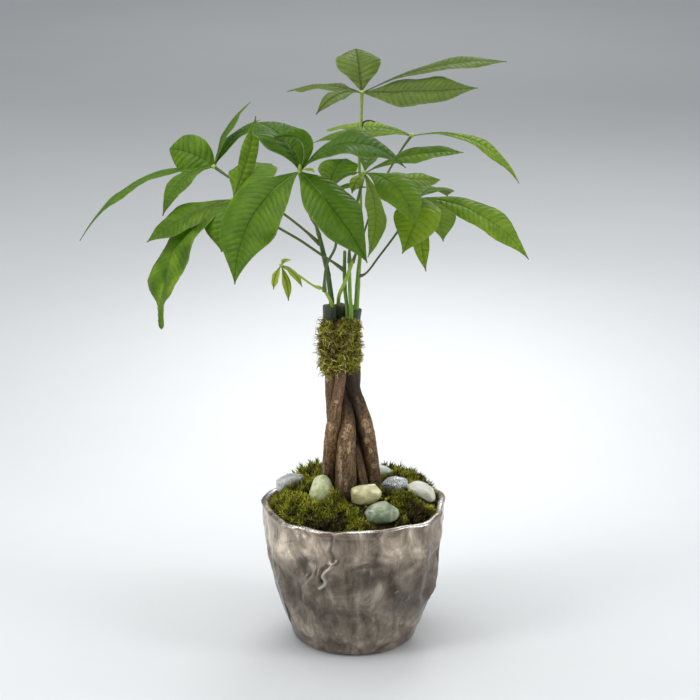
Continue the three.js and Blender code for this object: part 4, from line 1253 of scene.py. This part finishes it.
def make_shoot(name, materials):
    line, radii, tone = SHOOTS[name]

    def joints(t, a, middle):
        swell = sum(0.10 * np.exp(-((t - at) / 0.018) ** 2) for at in (0.28, 0.52, 0.74))
        return 1 + swell + 0.03 * np.sin(3 * a + 20 * t)

    shape = Shape()
    add_limb(shape, line, radii, 90, 20, tone=tone, bump=joints, ease=True)
    if name == "shoot_right":
        add_limb(shape, CURL_LINE, CURL_RADII, 30, 10, tone=0.0, slot=1, ease=True)
    shape.build(name + "_stem", name, materials)


# The three skins of a leaf
UPPER, UNDER, STALK = 0, 1, 2

# Leaves: the stalk's line and the leaflets, each by its tip's offset from the hub and its shape

LEAVES = {
    "leaf_top": {
        "look": "top_leaf", "tone": 0.45, "stalk_tone": 0.80, "foot": 0.2,
        "stalk": [(5.2, 5, 433), (5.8, 5, 450), (6, 5, 465)],
        "leaflets": [
            dict(tip=(-61, 41, -7), width=34, arch=4),
            dict(tip=(-36, -44, -9), width=15, arch=7, roll=-12),
            dict(tip=(-5, 42, 28), width=37, arch=4, belly=1.5, point=0.75),
            dict(tip=(116, 10, 23), width=28, arch=8, roll=8, belly=1.9),
            dict(tip=(91, -29, 9), width=44, arch=-1, roll=22, belly=1),
        ],
    },
    "leaf_far_left": {
        "tone": 0.45,
        "stalk": [(-27.6, 0.6, 341), (-40, 3, 352), (-57, 10, 364), (-84, 22, 380), (-104, 31, 391),
                  (-115, 35, 398)],
        "leaflets": [
            dict(tip=(-112, 2, -63), width=33, arch=18),
            dict(tip=(-40, -35, -33), width=20, arch=12, roll=-10),
            dict(tip=(-37, 12, 12), width=33, arch=3, roll=-60, point=0.6),
            dict(tip=(29, 34, 47), width=24, arch=6, roll=-34),
            dict(tip=(36, 44, 30), width=26, arch=6, roll=-20),
        ],
    },
    "leaf_left": {
        "tone": 0.52,
        "stalk": [(-8, -2.6, 320), (-18, -4.6, 328), (-28, -6, 335), (-44, -5, 346), (-63, -3, 357),
                  (-84, 0, 371), (-98, 0, 379)],
        "leaflets": [
            dict(tip=(-69, -16, -32), width=38, arch=4, roll=-16),
            dict(tip=(-57, -40, -98), width=55, arch=20, sway=7, roll=10, belly=1.5, point=0.5, drip=0.62,
                 crinkle=1.6, flap=4.5),
            dict(tip=(18, 30, 62), width=15, arch=-5, roll=50),
            dict(tip=(30, 50, 18), width=42, arch=8),
            dict(tip=(-8, -32, -36), width=34, arch=8),
        ],
    },
    "leaf_front": {
        "look": "front_leaf", "tone": 0.36, "bud": 3.6,
        "stalk": [(-28.6, -0.4, 349), (-31, -6, 358), (-35, -16, 368), (-40, -36, 392), (-43, -55, 414)],
        "leaflets": [
            dict(tip=(-50, -35, -82), width=54, arch=15, sway=3, roll=-20, belly=1),
            dict(tip=(53, -30, -66), width=46, arch=6, sway=3, roll=22, belly=0.9, tone=0.45),
            dict(tip=(83, -2, 3), width=44, arch=21, roll=14, tone=0.16),
            dict(tip=(-36, 33, 32), width=51, arch=10, tone=0.20),
            dict(tip=(-23, 4, 25), width=18, arch=17, roll=-76, belly=0.95, tone=0.40),
            dict(tip=(12, -12, 2), width=9, arch=2, tone=1.1),
        ],
    },
    "leaf_centre": {
        "tone": 0.48,
        "stalk": [(-3.8, -3.4, 327), (-4, -6, 338), (-1, -12, 364), (4, -18, 388), (8, -20, 405)],
        "leaflets": [
            dict(tip=(78, -12, 19), width=30, arch=6, roll=12, belly=1.4),
            dict(tip=(41, -44, -33), width=36, arch=12, roll=10, tone=0.60),
            dict(tip=(-10, -20, -12), width=12, arch=3, tone=0.9),
            dict(tip=(-22, 8, -7), width=13, arch=2, roll=20),
            dict(tip=(3, 10, -72), width=30, arch=4, sway=7, roll=42, belly=0.95, tone=1.0),
            dict(tip=(7, 30, 6), width=14, arch=5),
            dict(tip=(61, 20, -10), width=26, arch=-2, roll=14, belly=1.8, point=0.8, tone=0.95),
        ],
    },
    "leaf_right_high": {
        "tone": 0.55, "girth": 0.85,
        "stalk": [(-1.4, -12, 329), (2.2, -7, 338), (6, -2.5, 346), (14, 8, 368), (25, 22, 391),
                  (38, 36, 411), (47, 40, 423)],
        "leaflets": [
            dict(tip=(-81, 8, -8), width=32, arch=6, roll=-4, belly=1.1, tone=0.62),
            dict(tip=(88, -10, -38), width=26, arch=17, roll=8, belly=1.7, tone=0.80),
            dict(tip=(-70, 52, -6), width=38, arch=5, belly=1.7, point=0.7, tone=0.75),
        ],
    },
    "leaf_right_low": {
        "tone": 0.58, "girth": 0.9,
        "stalk": [(3.6, 1.6, 314), (9, 0.4, 316.5), (21, 1, 332), (35, 3, 351), (43, 4, 365), (52, 5, 379)],
        "leaflets": [
            dict(tip=(88, -30, -44), width=36, arch=13, roll=16, tone=0.66),
            dict(tip=(-14, -50, -34), width=39, arch=14, sway=-8, tone=0.88),
            dict(tip=(6, -18, -57), width=15, arch=3, sway=3, tone=1.15),
            dict(tip=(22, 42, -47), width=34, arch=10, tone=0.8),
            dict(tip=(25, 40, -8), width=32, arch=7),
        ],
    },
    "leaf_young": {
        "look": "young_leaf", "tone": 0.6,
        "stalk": [(-28, -11, 307.6), (-33, -13, 310), (-44, -17, 319), (-50, -19, 323), (-59, -20, 329)],
        "leaflets": [
            dict(tip=(7, 14, 1), width=8, arch=2),
            dict(tip=(17, -8, -16), width=11, arch=3),
            dict(tip=(6, -10, -27), width=8, arch=3),
            dict(tip=(-6, -5, -19), width=9, arch=2),
            dict(tip=(10, 10, -11), width=9, arch=2),
        ],
    },
    "leaf_rear": {
        "tone": 0.40,
        "stalk": [(-24.2, -9.6, 304.5), (-24, -12, 316), (-22, -12, 328), (-15, -9, 343), (-18, 0, 366),
                  (-21, 5, 384)],
        "leaflets": [
            dict(tip=(15, 42, 18), width=34, arch=6),
            dict(tip=(33, 12, 0), width=16, arch=3),
            dict(tip=(8, 10, -37), width=24, arch=5),
            dict(tip=(-14, 34, 3), width=18, arch=4),
        ],
    },
}

# Places across a blade, closer together at the midrib and the margin
ACROSS = np.array([0, 0.035, 0.09, 0.18, 0.30, 0.43, 0.56, 0.69, 0.81, 0.91, 0.975, 1.0])
ACROSS = np.concatenate([-ACROSS[:0:-1], ACROSS])


def blade_share(s, belly, point, drip):
    tail = 1 - drip * smoothstep(s, 0.78, 0.87)
    return np.maximum(0, np.sin(np.pi * s ** belly)) ** point * (1 - 0.35 * s ** 8) * tail


def turn_about(vector, axis, degrees):
    c, s = math.cos(math.radians(degrees)), math.sin(math.radians(degrees))
    return vector * c + np.cross(axis, vector) * s + axis * axis.dot(vector) * (1 - c)


def blade_line(hub, chord, arch, sway, roll):
    """Shares along a blade, its midline, and the ways across it and off it."""
    length = np.linalg.norm(chord)
    flat_side = unit(np.array([chord[1], -chord[0], 0]))
    lift = unit(np.cross(flat_side, chord))
    side = turn_about(flat_side, chord / length, roll)
    rows = int(np.clip(length * 0.75, 16, 84))
    foot = 1.2 / math.hypot(length, 4 * arch)
    s = foot + (1 - foot) * np.linspace(0, 1, rows + 1)
    bow = (4 * s * (1 - s))[:, None]
    slope = (4 * (1 - 2 * s))[:, None]
    middle = np.array(hub) + chord * s[:, None] + lift * arch * bow + flat_side * sway * bow
    forward = unit(chord + lift * arch * slope + flat_side * sway * slope)
    across = unit(side - forward * (forward @ side)[:, None])
    return s, middle, across, np.cross(across, forward)


def add_leaflet(shape, hub, base_tone, seed, tip, width, arch=0, sway=0, roll=0, belly=1.2, point=1.1,
                drip=0.0, tone=None, crinkle=0.0, flap=0.0):
    """One arched, folded and waved blade with a grooved midrib and quilting between the side veins."""
    rng = np.random.default_rng(seed)
    chord = np.array(tip, float)
    s, middle, across, normal = blade_line(hub, chord, arch, sway, roll)
    full = blade_share(s, belly, point, drip)
    out, sg = np.meshgrid(ACROSS, s)
    a = np.broadcast_to(travelled(middle)[:, None], out.shape)
    least = 0.5 if drip == 0 else np.where(s < 0.5, 0.5, 0.4 + 5.2 * np.sqrt(1 - smoothstep(s, 0.975, 1.0)))
    half = np.maximum(least, 0.5 * width * full)[:, None]
    share = full[:, None]
    half = half + flap * np.exp(-((sg - 0.75) / 0.07) ** 2) * (out > 0)
    aside = half * np.abs(out)
    vein = (a - aside * (VEIN_LEAN + VEIN_BEND * aside)) / VEIN_STEP
    local = places(a, half * out, 50.0 * seed)

    fold = half * (0.42 * np.abs(out) - 0.42 * out ** 2)
    phase = 0.37 * chord[0] + 0.21 * chord[2]
    ripple = 0.035 * width * share * np.sin(15 * sg + phase + np.where(out > 0, 1.3, 0)) * out ** 2
    quilt = 0.5 - 0.5 * np.cos(TAU * vein)
    room = np.minimum(1, aside / 3.5) * (1 - out ** 6) * np.minimum(1, width / 30)
    margin = np.abs(out) ** 5 * share
    shake = margin * 0.15 * np.sin(vein * TAU * 0.5 + rng.uniform(0, TAU) + np.where(out > 0, 2, 0))
    crumple = (0.5 + crinkle) * noise(local, 13, 5) * share * np.minimum(1, width / 30)
    height = fold + ripple + 0.12 * (quilt - 0.4) * room * (1 + 4 * crinkle) + shake + crumple

    edge = 1 + 0.004 * np.sin(vein * TAU + rng.uniform(0, TAU)) * (np.abs(out) > 0.9)
    surface = middle[:, None] + across[:, None] * (half * out * edge)[..., None]
    surface = surface + normal[:, None] * height[..., None]
    thick = (0.26 - 0.08 * out ** 4) * np.minimum(1, width / 20)
    rib = np.exp(-(aside / (0.9 - 0.45 * sg)) ** 2) * (1.05 - 0.85 * sg) * min(1, width / 25)
    top = surface + normal[:, None] * (thick - 0.28 * rib)[..., None]
    bottom = surface - normal[:, None] * (thick + 0.65 * rib)[..., None]

    own = base_tone if tone is None else tone
    # Painted light and shade on a crinkled leaflet: light and dark blotches, lighter towards the tip
    crinkle_light_shade = crinkle * (0.24 * noise(local, 12, 9) + 0.14 * (sg - 0.6))
    pair = np.stack([own + rng.uniform(-0.08, 0.08) + crinkle_light_shade, np.abs(out)], -1)
    add_sheet(shape, top, bottom, np.stack([a / 100, 0.5 + half * out / 100], -1), pair)


def add_sheet(shape, top, bottom, blade, pair):
    """A thin solid between two grids of points, closed round its edge."""
    rows, columns = top.shape[0] - 1, top.shape[1]
    start = shape.count
    step = (rows + 1) * columns
    shape.add(top, grid_faces(rows + 1, columns), UPPER, blade, pair)
    shape.add(bottom, grid_faces(rows + 1, columns, flip=True), UNDER, blade, pair)
    i = np.arange(rows)
    left, right = i * columns, i * columns + columns - 1
    j = np.arange(columns - 1)
    last = rows * columns
    rim = np.concatenate([
        np.stack([left, left + columns, left + columns + step, left + step], -1),
        np.stack([right + columns, right, right + step, right + columns + step], -1),
        np.stack([j + 1, j, j + step, j + 1 + step], -1),
        np.stack([last + j, last + j + 1, last + j + 1 + step, last + j + step], -1)])
    shape.faces.append(rim + start)
    shape.slots.append(np.full(len(rim), UPPER))


def add_ball(shape, at, radius, squash, tone):
    """A small knob, a little higher or flatter than round."""
    rings, sides = 12, 16
    t, a = by_angle(np.linspace(-1, 1, rings) * math.radians(84), sides)
    lump = radius * (1 + 0.10 * np.cos(5 * a) * np.cos(t))
    points = np.array(at) + around(lump * np.cos(t), a, radius * squash * np.sin(t))
    shape.add_closed(points, STALK, np.full((rings, sides, 2), tone), tone)


def make_leaf(name, looks, stalk_skin, number):
    leaf = LEAVES[name]
    line, leaflets = leaf["stalk"], leaf["leaflets"]
    hub = line[-1]
    small = all(blade["width"] < 15 for blade in leaflets)
    radii = [0.9 if small else leaf.get("girth", 1.1)] * len(line)
    radii[0] += leaf.get("foot", 0.9)
    radii[-1] += 0.4
    shape = Shape()
    stalk_tone = 0.9 if small else leaf.get("stalk_tone", 0.36)
    add_limb(shape, line, radii, 80, 14, tone=stalk_tone, slot=STALK)
    add_ball(shape, hub, 1.6 if small else 2.3, 0.8, 0.85)
    if "bud" in leaf:
        bud = (hub[0] + 0.4, hub[1] - 1.5, hub[2] + 0.9 * leaf["bud"])
        add_ball(shape, bud, 0.40 * leaf["bud"], 2.0, 0.78)
    for k, blade in enumerate(leaflets):
        add_leaflet(shape, hub, leaf["tone"], 100 * number + k, **blade)
    shape.build(name + "_blades", name, looks[leaf.get("look", "leaf")] + [stalk_skin])


def make_floor():
    half = FLOOR_HALF
    mesh = bpy.data.meshes.new("floor")
    mesh.from_pydata([(-half, -half, 0), (half, -half, 0), (half, half, 0), (-half, half, 0)], [],
                     [(0, 1, 2, 3)])
    mesh.materials.append(floor_material())
    add_object("floor", mesh, (0, 0, -FLOOR_DROP))


# Colours from dark to light, each at its place on the scale of tones

MOSS_STOPS = [
    (0.00, (0.050, 0.027, 0.010)), (0.22, (0.070, 0.066, 0.010)), (0.45, (0.165, 0.180, 0.012)),
    (0.70, (0.380, 0.400, 0.022)), (0.95, (0.760, 0.720, 0.080)),
]
COLLAR_STOPS = [
    (0.00, (0.070, 0.030, 0.016)), (0.22, (0.260, 0.120, 0.060)), (0.40, (0.270, 0.280, 0.026)),
    (0.66, (0.520, 0.550, 0.050)), (0.95, (1.000, 0.920, 0.240)),
]
SHOOT_STOPS = [
    (0.05, (0.030, 0.055, 0.010)), (0.35, (0.058, 0.130, 0.013)), (0.60, (0.150, 0.300, 0.022)),
    (0.95, (0.400, 0.560, 0.050)),
]
DRIED_STOPS = [(0.2, (0.06, 0.045, 0.035)), (0.8, (0.16, 0.12, 0.09))]
STALK_STOPS = [
    (0.10, (0.050, 0.062, 0.024)), (0.40, (0.110, 0.150, 0.040)), (0.70, (0.230, 0.330, 0.055)),
    (0.95, (0.450, 0.560, 0.090)),
]
MATURE_STOPS = [
    (0.10, (0.050, 0.110, 0.004)), (0.40, (0.095, 0.180, 0.006)), (0.62, (0.160, 0.270, 0.010)),
    (0.95, (0.330, 0.450, 0.024)),
]
TOP_STOPS = [
    (0.10, (0.070, 0.110, 0.014)), (0.45, (0.120, 0.175, 0.020)), (0.65, (0.160, 0.220, 0.028)),
    (0.95, (0.220, 0.300, 0.045)),
]
UNDER_STOPS = [
    (0.10, (0.090, 0.145, 0.016)), (0.45, (0.150, 0.225, 0.024)), (0.70, (0.215, 0.300, 0.036)),
    (0.95, (0.330, 0.430, 0.060)),
]
YOUNG_STOPS = [
    (0.10, (0.150, 0.210, 0.020)), (0.45, (0.320, 0.400, 0.035)), (0.95, (0.640, 0.680, 0.120)),
]

# Leaves: colour and share of the light that comes through, then the upper and the under side, each
# with its colours, side veins, midrib, foot of the midrib, roughness and puff
PALE_RIB = (0.26, 0.36, 0.10)
DARK_RIB = (0.055, 0.085, 0.022)
MATURE_UNDER = (UNDER_STOPS, (0.10, 0.16, 0.03), PALE_RIB, None, 0.52, -0.8)
LEAF_LOOKS = {
    "leaf": (
        (0.42, 0.72, 0.05), 0.34,
        (MATURE_STOPS, (0.17, 0.28, 0.05), PALE_RIB, None, 0.34, 1.0), MATURE_UNDER),
    "front_leaf": (
        (0.42, 0.72, 0.05), 0.34,
        (MATURE_STOPS, (0.17, 0.28, 0.06), DARK_RIB, (0.42, 0.56, 0.20), 0.32, 1.0), MATURE_UNDER),
    "top_leaf": (
        (0.40, 0.62, 0.08), 0.30,
        (TOP_STOPS, (0.19, 0.26, 0.07), (0.10, 0.12, 0.05), None, 0.42, 1.0),
        (UNDER_STOPS, (0.10, 0.16, 0.04), (0.12, 0.15, 0.06), None, 0.52, -0.8)),
    "young_leaf": (
        (0.75, 0.90, 0.15), 0.38,
        (YOUNG_STOPS, (0.45, 0.50, 0.12), (0.25, 0.22, 0.06), None, 0.42, 0.5),
        (YOUNG_STOPS, (0.50, 0.58, 0.20), (0.60, 0.66, 0.26), None, 0.5, -0.4)),
}

# Stones: colours, size of the clouds in them, strength of the veins and colour of the specks
STONE_LOOKS = {
    "stone_lavender": dict(dark=(0.36, 0.36, 0.40), mid=(0.62, 0.62, 0.62), light=(0.92, 0.92, 0.88),
                           size=14, veins=0.7),
    "stone_jade": dict(dark=(0.40, 0.48, 0.19), mid=(0.66, 0.72, 0.36), light=(0.92, 0.90, 0.68),
                       size=11, veins=0.5),
    "stone_olive": dict(dark=(0.42, 0.39, 0.16), mid=(0.68, 0.62, 0.32), light=(0.88, 0.82, 0.54),
                        size=15, veins=0.3),
    "stone_blue_green": dict(dark=(0.15, 0.22, 0.13), mid=(0.29, 0.36, 0.22), light=(0.58, 0.62, 0.44),
                             size=16, veins=0.4),
    "stone_blue_grey": dict(dark=(0.56, 0.60, 0.60), mid=(0.76, 0.79, 0.77), light=(0.93, 0.94, 0.90),
                            size=12, veins=0.3, speck=(0.07, 0.08, 0.10)),
    "stone_cream": dict(dark=(0.64, 0.65, 0.47), mid=(0.88, 0.87, 0.74), light=(0.95, 0.94, 0.88),
                        size=16, veins=0.3),
    "stone_pale_green": dict(dark=(0.70, 0.74, 0.60), mid=(0.88, 0.91, 0.78), light=(0.94, 0.95, 0.88),
                             size=12, veins=0.3),
}


# Build the plant

add_camera()
add_studio()
make_floor()

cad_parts["soil"].data.materials.clear()
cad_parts["soil"].data.materials.append(soil_material())

make_pot(glaze_material())
make_moss_bed([moss_material("moss", MOSS_STOPS, 0.25)])
make_moss_collar([moss_material("moss_strands", COLLAR_STOPS, 0.2)])

bark_skins = [bark_material(), cut_material()]
for number, trunk_name in enumerate(TRUNKS):
    make_trunk(trunk_name, bark_skins, TRUNK_SEED + number)

for number, stone_name in enumerate(STONES):
    make_stone(stone_name, stone_material(stone_name, **STONE_LOOKS[stone_name]),
               STONE_SEED + number)

shoot_skins = [shoot_material("shoot_skin", SHOOT_STOPS), shoot_material("dried_curl", DRIED_STOPS)]
for shoot_name in SHOOTS:
    make_shoot(shoot_name, shoot_skins)

leaf_skins = {}
for look, (through_colour, through, *sides) in LEAF_LOOKS.items():
    leaf_skins[look] = [leaf_material(look + end, *side, through_colour, through)
                        for end, side in zip(("_upper", "_under"), sides)]
stalk_skin = shoot_material("leaf_stalk", STALK_STOPS)
for number, leaf_name in enumerate(LEAVES):
    make_leaf(leaf_name, leaf_skins, stalk_skin, number + 1)
